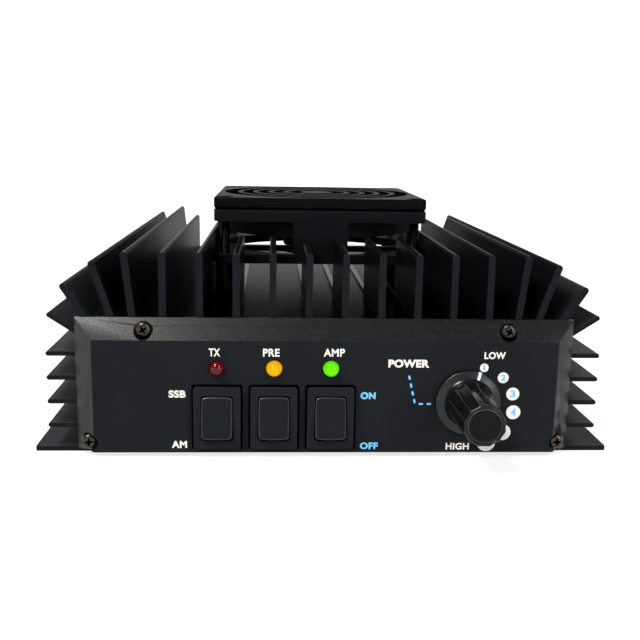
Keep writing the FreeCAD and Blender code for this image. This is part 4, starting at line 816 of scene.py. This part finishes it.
@dataclass
class Fasteners:
    """All screws: one piece for each set."""

    shop: Workshop
    seat: float = 97.6
    guard_seat: float = 77.7

    def drive(
        self, node: str, head: PanHead, seat: Callable[[Point], Point], turn: Point, finish: Finish, spin: float
    ) -> None:
        """Put a head on every screw of a set.

        Args:
            node: the set's node.
            head: the head to repeat.
            seat: turns the middle of a CAD screw into the place of its head's seat.
            turn: rotation of each head, in degrees.
            finish: the metal.
            spin: turn of the recess from one screw to the next, in degrees.
        """
        places = [seat(middle) for middle in solid_centres(self.shop.frame["nodes"][node].data)]
        item = head.mesh(node + "_head")
        # The second slot paints the recesses black as shade.
        for slot in (finish, PAINTED_SHADE_BLACK):
            item.materials.append(slot.material())
        mesh = repeat(node + "_set", item, places, finish, turn, spin)
        self.shop.fit(new_piece(node + "_finished", mesh), node)

    def build(self) -> None:
        """Make every screw set."""
        head = PanHead()
        front, rear = (90.0, 0.0, 0.0), (-90.0, 0.0, 0.0)
        self.drive("front_panel_screws", head, lambda at: (at[0], -self.seat, at[2]), front, DARK_NICKEL, 31.0)
        self.drive("rear_panel_screws", head, lambda at: (at[0], self.seat, at[2]), rear, DARK_NICKEL, 31.0)
        flat = (0.0, 0.0, 0.0)
        self.drive("fan_screws", LONG_SCREW, lambda at: (at[0], at[1], self.guard_seat), flat, BLACK_ZINC, 23.0)
        self.shop.dress("bottom_cover_screws", DARK_NICKEL, 0.15)


def solid_centres(mesh: Mesh) -> list[Point]:
    """Find the middle of each separate solid of a mesh.

    Args:
        mesh: a CAD node's mesh.

    Returns:
        The middles in millimetres, in a fixed order.
    """
    build = bmesh.new()
    build.from_mesh(mesh)
    bmesh.ops.remove_doubles(build, verts=build.verts, dist=WELD)
    left = set(build.verts)
    middles = []
    while left:
        group = {left.pop()}
        edge = list(group)
        while edge:
            for link in edge.pop().link_edges:
                for vert in link.verts:
                    if vert not in group:
                        group.add(vert)
                        edge.append(vert)
        left -= group
        sides = []
        for axis in range(3):
            values = [vert.co[axis] for vert in group]
            sides.append(round((min(values) + max(values)) / 2.0 / MM, 3))
        middles.append((sides[0], sides[1], sides[2]))
    build.free()
    return sorted(middles)


# ---- case
@dataclass
class Case:
    """The finned extrusion, its bottom cover and the two end panels."""

    shop: Workshop
    edge_mm: float = 0.22
    milled_from: float = -46.0
    milled_level: float = 45.0
    side_from: float = 76.0
    face_level: float = 101.0
    groove: Pair = (8.3, 11.0)
    groove_level: float = 99.9

    def heatsink_slot(self, middle: Vector, normal: Vector) -> int:
        """Choose a face's slot: 1 on the sawn ends, 2 in the milled bay, 4 on the tops of the side fins, which are
        painted lighter as light from above, else 0.
        """
        if abs(normal.y) > 0.9:
            return 1
        if normal.z > 0.9 and abs(middle.z - self.milled_level) < 0.5 and middle.y > self.milled_from:
            return 2
        # Slot 4 paints the side fins' tops lighter as light falling from above.
        return 4 if normal.z > 0.3 and abs(middle.x) > self.side_from else 0

    def build_heatsink(self) -> Piece:
        """Finish the extrusion: die lines along it, sawn ends, milled bay, edges that are worn and painted with a
        highlight, and side-fin tops painted lighter as light from above.
        """
        mesh = self.shop.copy_of("heatsink")
        piece = new_piece("heatsink_finished", mesh, (ANODISED, SAWN_END, MILLED, EDGE_WEAR_AND_HIGHLIGHT, PAINTED_LIGHT_FIN_TOPS))
        paint(mesh, self.heatsink_slot)
        smooth(mesh)
        # Slot 3 on the bevels shows edge wear and a painted highlight.
        bevelled(piece, self.edge_mm, 2, 3)
        return self.shop.fit(piece, "heatsink")

    def build_panel(self, node: str, way: float) -> Piece:
        """Finish an end panel: flat paint on the face, sparkling powder coat on its rims, and black painted shade in
        the front panel's grooves around the switch bezels.

        Args:
            node: the panel's node.
            way: -1 for the front panel, 1 for the rear panel.

        Returns:
            The new piece.
        """
        mesh = self.shop.copy_of(node)
        piece = new_piece(node + "_finished", mesh, (PANEL_RIM, PANEL_FACE, PAINTED_SHADE_BLACK))
        boxes = [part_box(name + "_switch") for name in SWITCHES]
        bezels = [(low + high) / (2.0 * MM) for low, high in boxes]

        def panel_slot(middle: Vector, normal: Vector) -> int:
            """Choose 1 on the face, 2 in the grooves around the bezels, which are painted black as shade, and 0 on the
            rims.
            """
            if normal.y * way > 0.95 and abs(middle.y * way - self.face_level) < 0.2:
                return 1
            wide, tall = self.groove
            near = any(abs(middle.x - at.x) < wide and abs(middle.z - at.z) < tall for at in bezels)
            # Slot 2 paints the grooves around the bezels black as shade.
            return 2 if middle.y < -self.groove_level and near else 0

        paint(mesh, panel_slot)
        smooth(mesh)
        bevelled(piece, 0.15, 2)
        return self.shop.fit(piece, node)

    def build(self) -> None:
        """Make the case."""
        self.build_heatsink()
        self.build_panel("front_panel", -1.0)
        self.build_panel("rear_panel", 1.0)
        self.shop.dress("bottom_cover", COVER, 0.2)


# ---- lettering
@dataclass(frozen=True)
class Legend:
    """One printed word: its text, centre, width and height on the panel, in millimetres."""

    text: str
    x: float
    z: float
    width: float
    height: float
    ink: Finish = WHITE_INK
    bold: float = 0.0


LEGENDS: tuple[Legend, ...] = (
    Legend("TX", -36.15, 34.94, 3.6, 2.6),
    Legend("PRE", -18.09, 34.93, 5.3, 2.6),
    Legend("AMP", 2.07, 35.03, 6.8, 2.6),
    Legend("SSB", -48.12, 21.19, 5.4, 2.45, bold=0.012),
    Legend("AM", -47.63, 4.25, 4.9, 2.4, bold=0.01),
    Legend("ON", 13.3, 20.77, 4.9, 2.35, BLUE_INK, 0.022),
    Legend("OFF", 14.0, 3.73, 5.9, 2.35, BLUE_INK, 0.016),
    Legend("POWER", 26.23, 31.54, 13.3, 2.65, bold=0.02),
    Legend("LOW", 54.17, 34.32, 7.0, 2.35, bold=0.008),
    Legend("HIGH", 43.24, 3.57, 7.7, 2.3),
)


@dataclass(frozen=True)
class Spot:
    """A numbered step of the power scale: its disc's centre and radius, in millimetres."""

    digit: str
    x: float
    z: float
    radius: float


SPOTS: tuple[Spot, ...] = (
    Spot("1", 50.83, 30.24, 1.4),
    Spot("2", 57.22, 26.92, 1.8),
    Spot("3", 60.7, 21.46, 2.15),
    Spot("4", 61.21, 15.24, 2.35),
    Spot("5", 57.99, 8.4, 2.7),
    Spot("6", 52.74, 4.95, 3.05),
)


@dataclass
class PanelPrint:
    """The screen print on the front panel."""

    shop: Workshop
    face: float = -101.0
    film: float = 0.03
    stroke: float = 0.028
    dash_pitch: float = 2.52
    dash_size: Pair = (0.68, 1.5)
    guide: tuple[tuple[Pair, Pair], ...] = (((26.57, 26.85), (28.42, 19.0)), ((30.62, 18.04), (33.2, 18.04)))

    def letters(
        self, text: str, x: float, z: float, width: float, height: float, lift: float, bold: float = 0.0
    ) -> Mesh:
        """Draw a word as a thin mesh on the panel, fitted to its printed size.

        Args:
            text: the word.
            x: its centre across the panel.
            z: its centre up the panel.
            width: its width.
            height: its height.
            lift: how far its film starts above the face.
            bold: extra width of its strokes, as a share of its size.

        Returns:
            The mesh, in place.
        """
        curve = bpy.data.curves.new(text, "FONT")
        curve.body = text
        curve.size = 1.0
        curve.offset = self.stroke + bold
        curve.extrude = 0.5
        curve.space_character = 1.07
        curve.resolution_u = 8
        writer = new_piece(text, curve)
        bpy.context.view_layer.update()
        mesh = bpy.data.meshes.new_from_object(writer.evaluated_get(bpy.context.evaluated_depsgraph_get()))
        bpy.data.objects.remove(writer)
        low = [min(vert.co[axis] for vert in mesh.vertices) for axis in range(3)]
        high = [max(vert.co[axis] for vert in mesh.vertices) for axis in range(3)]
        for vert in mesh.vertices:
            across = (vert.co.x - (low[0] + high[0]) / 2.0) / (high[0] - low[0]) * width
            up = (vert.co.y - (low[1] + high[1]) / 2.0) / (high[1] - low[1]) * height
            out = lift + (vert.co.z + 0.5) * self.film
            vert.co = Vector((x + across, self.face - out, z + up)) * MM
        with editing(mesh) as build:
            bmesh.ops.remove_doubles(build, verts=build.verts, dist=1e-7)
        return mesh

    def build_words(self) -> None:
        """Print the words, one piece for each ink."""
        for name, ink in (("white_words", WHITE_INK), ("blue_words", BLUE_INK)):
            meshes = [
                self.letters(row.text, row.x, row.z, row.width, row.height, 0.0, row.bold)
                for row in LEGENDS
                if row.ink is ink
            ]
            self.shop.attach(joined("panel_" + name, meshes, ink), "chassis")

    def build_spots(self) -> None:
        """Print the white discs of the power scale, then their numbers."""
        build = bmesh.new()
        for spot in SPOTS:
            bmesh.ops.create_cone(
                build,
                cap_ends=True,
                segments=64,
                radius1=spot.radius * MM,
                radius2=spot.radius * MM,
                depth=self.film * MM,
                matrix=Matrix.Translation(Vector((spot.x, self.face - self.film / 2.0, spot.z)) * MM)
                @ Matrix.Rotation(math.radians(90.0), 4, "X"),
            )
        discs = new_piece("panel_scale_discs", mesh_of("panel_scale_discs", build), (WHITE_INK,))
        self.shop.attach(discs, "chassis")
        meshes = []
        for spot in SPOTS:
            tall = 0.72 * spot.radius + 0.85
            narrow = spot.digit == "1"
            wide, bold = tall * (0.36 if narrow else 0.7), 0.0 if narrow else 0.02
            meshes.append(self.letters(spot.digit, spot.x, spot.z + 0.05, wide, tall, self.film, bold))
        self.shop.attach(joined("panel_scale_numbers", meshes, BLUE_INK), "chassis")

    def build_guide(self) -> None:
        """Print the dashed line from the word POWER to the knob."""
        build = bmesh.new()
        wide, long = self.dash_size
        bend = wide / 2.0
        ring = []
        for side, centre in ((1.0, long / 2.0 - bend), (-1.0, bend - long / 2.0)):
            for step in range(9):
                angle = math.radians(180.0 * step / 8.0) + (0.0 if side > 0.0 else math.pi)
                ring.append((bend * math.cos(angle), centre + bend * math.sin(angle)))
        tops = [build.verts.new((x * MM, self.film * MM, z * MM)) for x, z in ring]
        backs = [build.verts.new((x * MM, 0.0, z * MM)) for x, z in ring]
        build.faces.new(tops)
        build.faces.new(backs)
        for here in range(len(ring)):
            after = (here + 1) % len(ring)
            build.faces.new((tops[here], tops[after], backs[after], backs[here]))
        bmesh.ops.transform(build, matrix=Matrix.Scale(-1.0, 4, (0.0, 1.0, 0.0)), verts=build.verts)
        dash = mesh_of("guide_dash", build)
        self.shop.attach(new_piece("panel_guide_line", self.along(dash)), "chassis")

    def along(self, dash: Mesh) -> Mesh:
        """Repeat the dash along the guide's corner line with Geometry Nodes."""
        curve = bpy.data.curves.new("guide_path", "CURVE")
        curve.dimensions = "3D"
        for leg in self.guide:
            run = curve.splines.new("POLY")
            run.points.add(1)
            for point, (x, z) in zip(run.points, leg):
                point.co = (x * MM, self.face * MM, z * MM, 1.0)
        inputs = {"Pitch": ("Float", self.dash_pitch * MM)}
        copier = Scatter("panel_guide_line", new_piece("guide_path", curve), dash, BLUE_INK, inputs)
        links = {"Curve": copier.start["Base"], "Length": copier.start["Pitch"]}
        dots = add_node(copier.tree, "GeometryNodeCurveToPoints", links=links, mode="LENGTH").outputs
        links = {"Vector": dots["Tangent"]}
        aim = add_node(copier.tree, "FunctionNodeAlignEulerToVector", links=links, axis="Z", pivot_axis="Y")
        return copier.mesh(copier.stand_on(dots["Points"], aim.outputs["Rotation"]))

    def build(self) -> None:
        """Print everything."""
        self.build_words()
        self.build_spots()
        self.build_guide()


def joined(name: str, meshes: Sequence[Mesh], finish: Finish) -> Piece:
    """Join meshes that are already in place into one piece.

    Args:
        name: the piece's name.
        meshes: what goes into it.
        finish: its finish.

    Returns:
        The new piece.
    """
    build = bmesh.new()
    for mesh in meshes:
        build.from_mesh(mesh)
        bpy.data.meshes.remove(mesh)
    for face in build.faces:
        face.material_index = 0
    whole = bpy.data.meshes.new(name)
    build.to_mesh(whole)
    build.free()
    return new_piece(name, whole, (finish,))


# ---- power selector
@dataclass
class Knob:
    """The power knob: fluted grip, skirt with its pointer, cap, and what holds it."""

    shop: Workshop
    x: float = field(init=False)
    z: float = field(init=False)
    back: float = -101.6
    skirt_front: float = -104.0
    end: float = -127.0
    skirt_radius: float = 10.7
    base_radius: float = 7.3
    end_radius: float = 6.6
    cap_radius: float = 5.5
    rim: float = 0.6
    flutes: int = 12
    flute_bite: float = 0.55
    pointer_degrees: float = 19.0

    def __post_init__(self) -> None:
        """Take the knob's axis from its cap."""
        low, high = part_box("power_knob_cap")
        self.x, self.z = (low.x + high.x) / 2.0 / MM, (low.z + high.z) / 2.0 / MM

    def flute(self, radius: float, height: float, angle: float) -> float:
        """Radius of the grip with its scallops, which start in a rounded end above the skirt."""
        start = self.back - self.skirt_front + 1.2
        if radius < self.cap_radius + 0.2 or height < start:
            return radius
        end = self.back - self.end
        bite = self.flute_bite * min(1.0, math.sqrt((height - start) / 2.2)) * min(1.0, 0.45 + (end - height) * 0.3)
        wave = 0.5 + 0.5 * math.cos(self.flutes * angle)
        return radius - bite * wave ** 0.52

    def on_ridge(self, middle: Vector) -> bool:
        """Tell whether a place lies on one of the ridges between the scallops."""
        across, up = middle.x - self.x, middle.z - self.z
        wave = math.cos(self.flutes * math.atan2(up, across))
        on_side = self.end + 0.6 < middle.y < self.skirt_front - 1.6 and math.hypot(across, up) > self.cap_radius + 0.3
        return on_side and wave < -0.975

    def build_grip(self) -> None:
        """Turn the grip with its scalloped side."""
        length = self.back - self.end
        start = self.back - self.skirt_front
        profile: list[Pair] = [(4.6, 4.6), (6.2, 4.6), (6.2, 0.0), (self.base_radius, 0.0), (self.base_radius, start)]
        for step in range(0, 41):
            share = (step / 40.0) ** 1.5
            radius = self.base_radius + (self.end_radius - self.base_radius) * share
            flare = 1.1 * math.exp(-share * 24.0)
            profile.append((radius + flare, start + (length - 0.5 - start) * share))
        profile += arc((self.end_radius - 0.5, length - 0.5), 0.5, 5)
        profile += [(self.cap_radius + 0.12, length), (self.cap_radius, length - 0.12), (self.cap_radius, length - 1.2)]
        profile += [(4.6, length - 1.2), (4.6, 4.6)]
        mesh = turned("power_knob_finished", profile, 360, (self.x, self.back, self.z), 38.0, self.flute)
        # The ridges between the scallops take the lighter finish as a painted highlight.
        paint(mesh, lambda middle, normal: self.on_ridge(middle))
        self.shop.fit(new_piece("power_knob_finished", mesh, (KNOB_GLOSS, PAINTED_HIGHLIGHT_ABS)), "power_knob")

    def rim_arc(self, thick: float, proud: float) -> list[Pair]:
        """Give the skirt's rounded rim, up to where its cone starts.

        Args:
            thick: the skirt's thickness at its middle.
            proud: how far outside the rim the points lie.

        Returns:
            Pairs of radius and height.
        """
        return arc((self.skirt_radius - self.rim, thick - 1.65), self.rim + proud, 6, 68.0, 0)

    def build_skirt(self) -> None:
        """Turn the conical skirt with its rounded rim, paint its side black as shade, and paint its pointer."""
        thick = self.back - self.skirt_front
        rim = self.skirt_radius
        profile: list[Pair] = [(self.base_radius, 0.0), (rim - 0.2, 0.0), (rim, 0.2)]
        profile += self.rim_arc(thick, 0.0)
        profile += [(self.base_radius + 0.3, thick - 0.1), (self.base_radius, thick - 0.05)]
        profile += [(self.base_radius, 0.0)]
        mesh = turned("power_knob_skirt_finished", profile, 160, (self.x, self.back, self.z), 30.0)
        # Faces that don't face forward, the skirt's side and back, are painted black as shade.
        paint(mesh, lambda middle, normal: normal.y > -0.45)
        self.shop.fit(new_piece("power_knob_skirt_finished", mesh, (SKIRT_SATIN, PAINTED_SHADE_BLACK)), "power_knob_skirt")
        self.build_pointer(thick)

    def build_pointer(self, thick: float) -> None:
        """Lay the white line over the skirt's face and rim.

        Args:
            thick: the skirt's thickness.
        """
        outer, level = self.rim_arc(thick, 0.0)[-1]
        inner = self.base_radius + 0.3
        slope = (level - thick + 0.1) / (outer - inner)
        path: list[Pair] = [(inner + 0.5 * step, thick - 0.07 + slope * 0.5 * step) for step in (1, 3)]
        path += list(reversed(self.rim_arc(thick, 0.025)))
        path.append((self.skirt_radius - 0.01, 0.45))
        build = bmesh.new()
        rows = []
        for radius, height in path:
            row = []
            for side, under in ((-0.45, 0.25), (-0.45, 0.0), (0.45, 0.0), (0.45, 0.25)):
                inward = 1.0 - under / radius
                row.append(build.verts.new((side * MM, radius * inward * MM, (height - under * 0.6) * MM)))
            rows.append(row)
        skin(build, rows)
        build.faces.new(rows[0])
        build.faces.new(rows[-1])
        turn = Matrix.Rotation(math.radians(-self.pointer_degrees), 4, "Z")
        bmesh.ops.transform(build, matrix=turn, verts=build.verts)
        point_forward(build, (self.x, self.back, self.z))
        mesh = mesh_of("power_knob_pointer", build)
        smooth(mesh, 50.0)
        self.shop.attach(new_piece("power_knob_pointer", mesh, (WHITE_INK,)), "selector_knob")

    def build_cap(self) -> None:
        """Turn the slightly domed cap that closes the grip."""
        radius = self.cap_radius - 0.04
        profile: list[Pair] = [(0.0, 0.0), (radius, 0.0), (radius, 0.72)]
        profile += arc((radius - 0.4, 0.72), 0.4, 6) + [(radius - 0.6, 1.08), (radius - 0.75, 1.02)]
        for step in range(1, 13):
            share = 1.0 - step / 12.0
            profile.append(((radius - 0.75) * share, 1.02 + 0.16 * (1.0 - share * share)))
        mesh = turned("power_knob_cap_finished", profile, 128, (self.x, self.end + 1.2, self.z), 30.0)
        outer, inner = radius - 0.08, radius - 0.4

        def on_rim(middle: Vector, normal: Vector) -> bool:
            """Tell whether a face is part of the cap's rounded rim."""
            return inner < math.hypot(middle.x - self.x, middle.z - self.z) < outer and normal.y < -0.1

        # The cap's rounded rim takes the lighter finish as a painted highlight.
        paint(mesh, on_rim)
        self.shop.fit(new_piece("power_knob_cap_finished", mesh, (KNOB_CAP, PAINTED_HIGHLIGHT_ABS)), "power_knob_cap")

    def build(self) -> None:
        """Make the knob and dress what carries it."""
        self.build_grip()
        self.build_skirt()
        self.build_cap()
        self.shop.dress_all(
            (
                ("rotary_switch", PHENOLIC, 0.3),
                ("rotary_nut", BRIGHT_NICKEL, 0.25),
                ("power_shaft", TURNED_ALLOY, 0.3),
                ("power_collet", TINNED, 0.2),
            )
        )


# ---- switches and lamps
@dataclass
class Switches:
    """The three rocker switches."""

    shop: Workshop

    def build(self) -> None:
        """Make the switches."""
        for name in SWITCHES:
            self.shop.dress(name + "_switch", SWITCH_PA, 0.14, 2)
            rocker = self.shop.dress(name + "_rocker", ROCKER_ABS)
            # The rocker's rounded edges take the lighter finish as a painted highlight.
            rocker.data.materials.append(PAINTED_HIGHLIGHT_ABS.material())
            paint(rocker.data, lambda middle, normal: -0.86 < normal.y < -0.42)
        self.shop.dress("switch_lugs", TINNED, 0.12)


@dataclass
class Lamps:
    """The three indicator lamps and their board."""

    shop: Workshop
    inside: float = -99.0
    out: float = -103.6
    radius: float = 2.5
    flange: float = 2.9
    height: float = 29.7
    rows: tuple[tuple[str, float, Finish], ...] = (
        ("tx", -35.4, RED_LENS),
        ("preamp", -17.13, AMBER_LENS),
        ("amp", 1.14, GREEN_LENS),
    )

    def build_lens(self, name: str, x: float, finish: Finish) -> None:
        """Turn one domed lens.

        Args:
            name: the lamp's name.
            x: its place along the panel.
            finish: its epoxy.
        """
        reach = self.inside + 1.0 - self.out
        profile: list[Pair] = [(0.0, 0.0), (self.flange - 0.15, 0.0), (self.flange, 0.15), (self.flange, 0.85)]
        profile += [(self.flange - 0.15, 1.0), (self.radius - 0.02, 1.0)]
        for step in range(0, 15):
            angle = math.radians(90.0 * step / 14.0)
            profile.append(((self.radius - 0.02) * math.cos(angle), reach - self.radius * (1.0 - math.sin(angle))))
        mesh = turned(name + "_lamp_finished", profile, 64, (x, self.inside + 1.0, self.height), 40.0)
        self.shop.fit(new_piece(name + "_lamp_finished", mesh, (finish,)), name + "_lamp")

    def build(self) -> None:
        """Make the lamps and dress their board."""
        for name, x, finish in self.rows:
            self.build_lens(name, x, finish)
        self.shop.dress_all(
            (
                ("lamp_leads", TIN_WIRE, 0.0),
                ("lamp_board", RESIST, 0.15),
                ("lamp_board_pillars", NYLON, 0.2),
                ("lamp_board_screws", DARK_NICKEL, 0.2),
            )
        )


# ---- fan
@dataclass
class Fan:
    """The fan with its guard, impeller, motor and spacers."""

    shop: Workshop
    half: float = field(init=False)
    middle: float = field(init=False)
    joint: float = field(init=False)
    corner: float = 4.0

    def __post_init__(self) -> None:
        """Take the outline from the guard, which seats on the frame with its lower face."""
        low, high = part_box("fan_guard")
        self.half = (high.x - low.x) / 2.0 / MM
        self.middle = (low.y + high.y) / 2.0 / MM
        self.joint = low.z / MM

    def outside(self, place: Vector) -> bool:
        """Tell whether a point lies on the outline in which the frame and its guard meet."""
        across = max(abs(place.x / MM) - self.half + self.corner, 0.0)
        along = max(abs(place.y / MM - self.middle) - self.half + self.corner, 0.0)
        return abs(place.z / MM - self.joint) < 0.02 and math.hypot(across, along) > self.corner - 0.05

    def rolled(self, node: str, width: float) -> Mesh:
        """Roll a piece's outline in where the guard sits on the frame, so that a groove runs between them.

        Args:
            node: the frame or the guard.
            width: how far its edge is rolled in.

        Returns:
            The shaped copy of the node's mesh.
        """
        mesh = self.shop.copy_of(node)
        with editing(mesh) as build:
            rim = [edge for edge in build.edges if all(self.outside(end.co) for end in edge.verts)]
            bmesh.ops.bevel(build, geom=rim, offset=width * MM, segments=5, profile=0.5, affect="EDGES")
        return mesh

    def build(self) -> None:
        """Dress the fan's pieces."""
        self.shop.dress("fan_frame", FAN_ABS, 0.3, 2, shape=self.rolled("fan_frame", 0.5))
        self.shop.dress("fan_guard", GUARD_ABS, 0.8, 4, shape=self.rolled("fan_guard", 1.2))
        self.shop.dress_all(
            (
                ("fan_rotor", BLADE_ABS, 0.25),
                ("fan_spacers", BLACK_SPACER, 0.25),
                ("fan_stator", LAMINATION, 0.2),
                ("fan_shaft", GROUND_STEEL, 0.15),
                ("fan_magnet", FERRITE, 0.2),
            )
        )


# ---- circuit and rear
@dataclass
class Circuit:
    """The RF deck under the roof."""

    shop: Workshop

    def build(self) -> None:
        """Dress the deck."""
        rows = (
            ("main_board", RESIST, 0.15),
            ("board_pillars", TURNED_ALLOY, 0.2),
            ("board_screws", DARK_NICKEL, 0.2),
            ("rf_transistors", CERAMIC, 0.08),
            ("transistor_screws", DARK_NICKEL, 0.2),
            ("input_transformer_core", FERRITE, 0.4),
            ("input_transformer_winding", TINNED, 0.15),
            ("output_transformer_core", FERRITE, 0.5),
            ("output_transformer_winding", TINNED, 0.15),
            ("input_relay", RELAY_CASE, 0.5),
            ("antenna_relay", RELAY_CASE, 0.5),
            ("filter_coils", ENAMEL_WIRE, 0.0),
            ("supply_capacitors", SLEEVE, 0.6),
            ("supply_choke", FERRITE, 0.6),
            ("fuse_holders", HOLDER, 0.3),
            ("blade_fuses", FUSE_PC, 0.5),
        )
        self.shop.dress_all(rows)


@dataclass
class RearSockets:
    """The two coaxial sockets and the lead's grommet."""

    shop: Workshop
    plate_out: float = 103.0
    nose: float = 118.5
    z: float = 24.0
    thread_radius: float = 7.9
    root_radius: float = 7.3
    thread_pitch: float = 1.06
    crisp: float = 32.0

    def build_thread(self, node: str, x: float) -> None:
        """Cut a thread into a socket's shell, as rings from root to crest.

        Args:
            node: the socket's node.
            x: its place along the panel.
        """
        profile: list[Pair] = [(5.6, 0.0), (self.root_radius, 0.0)]
        level = 1.2
        profile.append((self.root_radius, level))
        end = self.nose - self.plate_out
        while level + self.thread_pitch < end - 0.7:
            profile.append((self.thread_radius - 0.02, level + self.thread_pitch * 0.42))
            profile.append((self.thread_radius - 0.02, level + self.thread_pitch * 0.58))
            level += self.thread_pitch
            profile.append((self.root_radius, level))
        profile += [
            (self.root_radius, end - 0.3), (self.root_radius - 0.3, end), (5.9, end), (5.6, end - 0.3), (5.6, 0.0)
        ]
        shell = turned(node + "_shell", profile, 72, (x, self.plate_out - 0.02, self.z), self.crisp, backwards=True)
        whole = self.shop.copy_of(node)
        outwards = Vector((0.0, 1.0, 0.0))
        with editing(whole) as plate:
            parts = list(plate.verts) + list(plate.edges) + list(plate.faces)
            middle = outwards * (self.plate_out + 0.01) * MM
            bmesh.ops.bisect_plane(plate, geom=parts, plane_co=middle, plane_no=outwards, clear_outer=True)
            plate.from_mesh(shell)
        paint(whole, lambda middle, normal: 0)
        smooth(whole, self.crisp)
        self.shop.fit(new_piece(node + "_finished", whole, (BRIGHT_NICKEL,)), node)

    def build(self) -> None:
        """Make the rear connectors."""
        self.build_thread("input_socket", -30.0)
        self.build_thread("antenna_socket", 30.0)
        rows = (
            ("socket_insulators", PTFE, 0.2),
            ("socket_contacts", TINNED, 0.2),
            ("socket_screws", BRIGHT_NICKEL, 0.3),
            ("supply_lead_grommet", RUBBER, 0.6),
        )
        self.shop.dress_all(rows, 3)


# ---- studio
@dataclass(frozen=True)
class SoftBox:
    """One square lamp: its name, place and side in metres, power in watts and tint."""

    name: str
    at: Point
    side: float
    power: float
    tint: str = "#ffffff"


SOFT_BOXES: tuple[SoftBox, ...] = (
    SoftBox("overhead_left", (-0.42, -0.36, 0.9), 0.28, 13.0, "#fffaf4"),
    SoftBox("front_right", (0.85, -0.88, 0.95), 0.3, 9.0),
    SoftBox("low_right", (0.82, -1.08, 0.24), 0.12, 3.5),
    SoftBox("front_left", (-0.6, -0.95, 1.0), 0.3, 8.5),
    SoftBox("rear_left", (-0.48, 0.95, 1.05), 0.3, 6.0),
    SoftBox("rear_right", (0.8, 0.9, 0.75), 0.36, 5.0),
)


@dataclass
class Studio:
    """Floor, backdrop, light and camera, none of which is part of the object."""

    camera_at: Point = (-17.7, -382.1, 102.9)
    right: Point = (0.998618, -0.049763, 0.016932)
    up: Point = (-0.006656, 0.199804, 0.979813)
    forward: Point = (0.052141, 0.978571, -0.199197)
    focal: float = 905.0
    frame_width: float = 640.0
    aim: Point = (0.0, -0.03, 0.03)

    def build_camera(self) -> None:
        """Stand the camera where the object was seen from."""
        data = bpy.data.cameras.new("camera")
        data.sensor_fit = "HORIZONTAL"
        data.sensor_width = 36.0
        data.lens = 36.0 * self.focal / self.frame_width
        data.clip_start = 0.01
        data.clip_end = 50.0
        camera = new_piece("camera", data)
        back = [-part for part in self.forward]
        axes = Matrix((self.right, self.up, back)).transposed().to_4x4()
        camera.matrix_world = Matrix.Translation(Vector(self.camera_at) * MM) @ axes
        bpy.context.scene.camera = camera

    def pale(self, name: str, shade: str, lift: float) -> bpy.types.Material:
        """Make a pale matt surface that shows white to the camera and to reflections.

        Args:
            name: the material's name.
            shade: its sRGB hex.
            lift: how much of its own white it adds.

        Returns:
            The material.
        """
        material = bpy.data.materials.new(name)
        tree = bare_tree(material)
        add = partial(add_node, tree)
        ray = add("ShaderNodeLightPath").outputs
        seen = ray["Is Camera Ray"]
        for kind in ("Is Glossy Ray", "Is Transmission Ray"):
            seen = add("ShaderNodeMath", links={0: seen, 1: ray[kind]}, operation="MAXIMUM").outputs[0]
        amount = add("ShaderNodeMath", {1: lift}, {0: seen}, operation="MULTIPLY").outputs[0]
        white = add("ShaderNodeEmission", {"Color": srgb("#ffffff")}, {"Strength": amount}).outputs[0]
        paper = add("ShaderNodeBsdfDiffuse", {"Color": srgb(shade)}).outputs[0]
        both = add("ShaderNodeAddShader", links={0: paper, 1: white}).outputs[0]
        add("ShaderNodeOutputMaterial", links={"Surface": both})
        return material

    def build_stage(self) -> None:
        """Lay the round floor and the cove that rises around it."""
        for name, profile, shade, lift in (
            ("floor", ((0.0, 0.0), (700.0, 0.0)), "#a4a4a4", 0.75),
            ("cove", ((700.0, 0.0), (1200.0, 0.0), (1340.0, 30.0), (1400.0, 100.0), (1400.0, 390.0)), "#d0d0d0", 0.92),
        ):
            build = bmesh.new()
            lathe(build, profile, 96)
            bmesh.ops.delete(build, geom=[face for face in build.faces if len(face.verts) > 4], context="FACES_ONLY")
            bmesh.ops.translate(build, vec=Vector((0.0, 0.0, -0.0002)), verts=build.verts)
            mesh = mesh_of(name, build)
            sheet = new_piece(name, mesh)
            mesh.materials.append(self.pale(name + "_paper", shade, lift))

    def build_world(self) -> None:
        """Fill the room with plain soft light."""
        world = bpy.data.worlds.new("studio")
        tree = bare_tree(world)
        soft = add_node(tree, "ShaderNodeBackground", {"Color": srgb("#f4f5f7"), "Strength": 0.26})
        add_node(tree, "ShaderNodeOutputWorld", links={"Surface": soft.outputs[0]})
        bpy.context.scene.world = world

    def build_lamp(self, box: SoftBox) -> None:
        """Hang one soft box so that it faces the object.

        Args:
            box: its place, size and light.
        """
        data = bpy.data.lights.new(box.name, "AREA")
        data.shape = "RECTANGLE"
        data.size = data.size_y = box.side
        data.energy = box.power
        data.color = srgb(box.tint)[:3]
        lamp = new_piece(box.name, data)
        lamp.location = box.at
        lamp.rotation_euler = (Vector(self.aim) - Vector(box.at)).to_track_quat("-Z", "Y").to_euler()

    def build(self) -> None:
        """Set up the whole studio."""
        self.build_camera()
        self.build_stage()
        self.build_world()
        for box in SOFT_BOXES:
            self.build_lamp(box)
        bpy.context.scene.view_settings.view_transform = "Standard"


def main() -> None:
    """Build every sub-assembly around the frame and report it."""
    logging.basicConfig(level=logging.INFO, format="%(name)s: %(message)s", stream=sys.stdout)
    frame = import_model()
    shop = Workshop(frame)
    for part in (
        Case(shop),
        Fasteners(shop),
        PanelPrint(shop),
        Knob(shop),
        Switches(shop),
        Lamps(shop),
        Fan(shop),
        Circuit(shop),
        RearSockets(shop),
        Studio(),
    ):
        part.build()
        log.info("%s is ready", type(part).__name__)


if __name__ == "__main__":
    main()
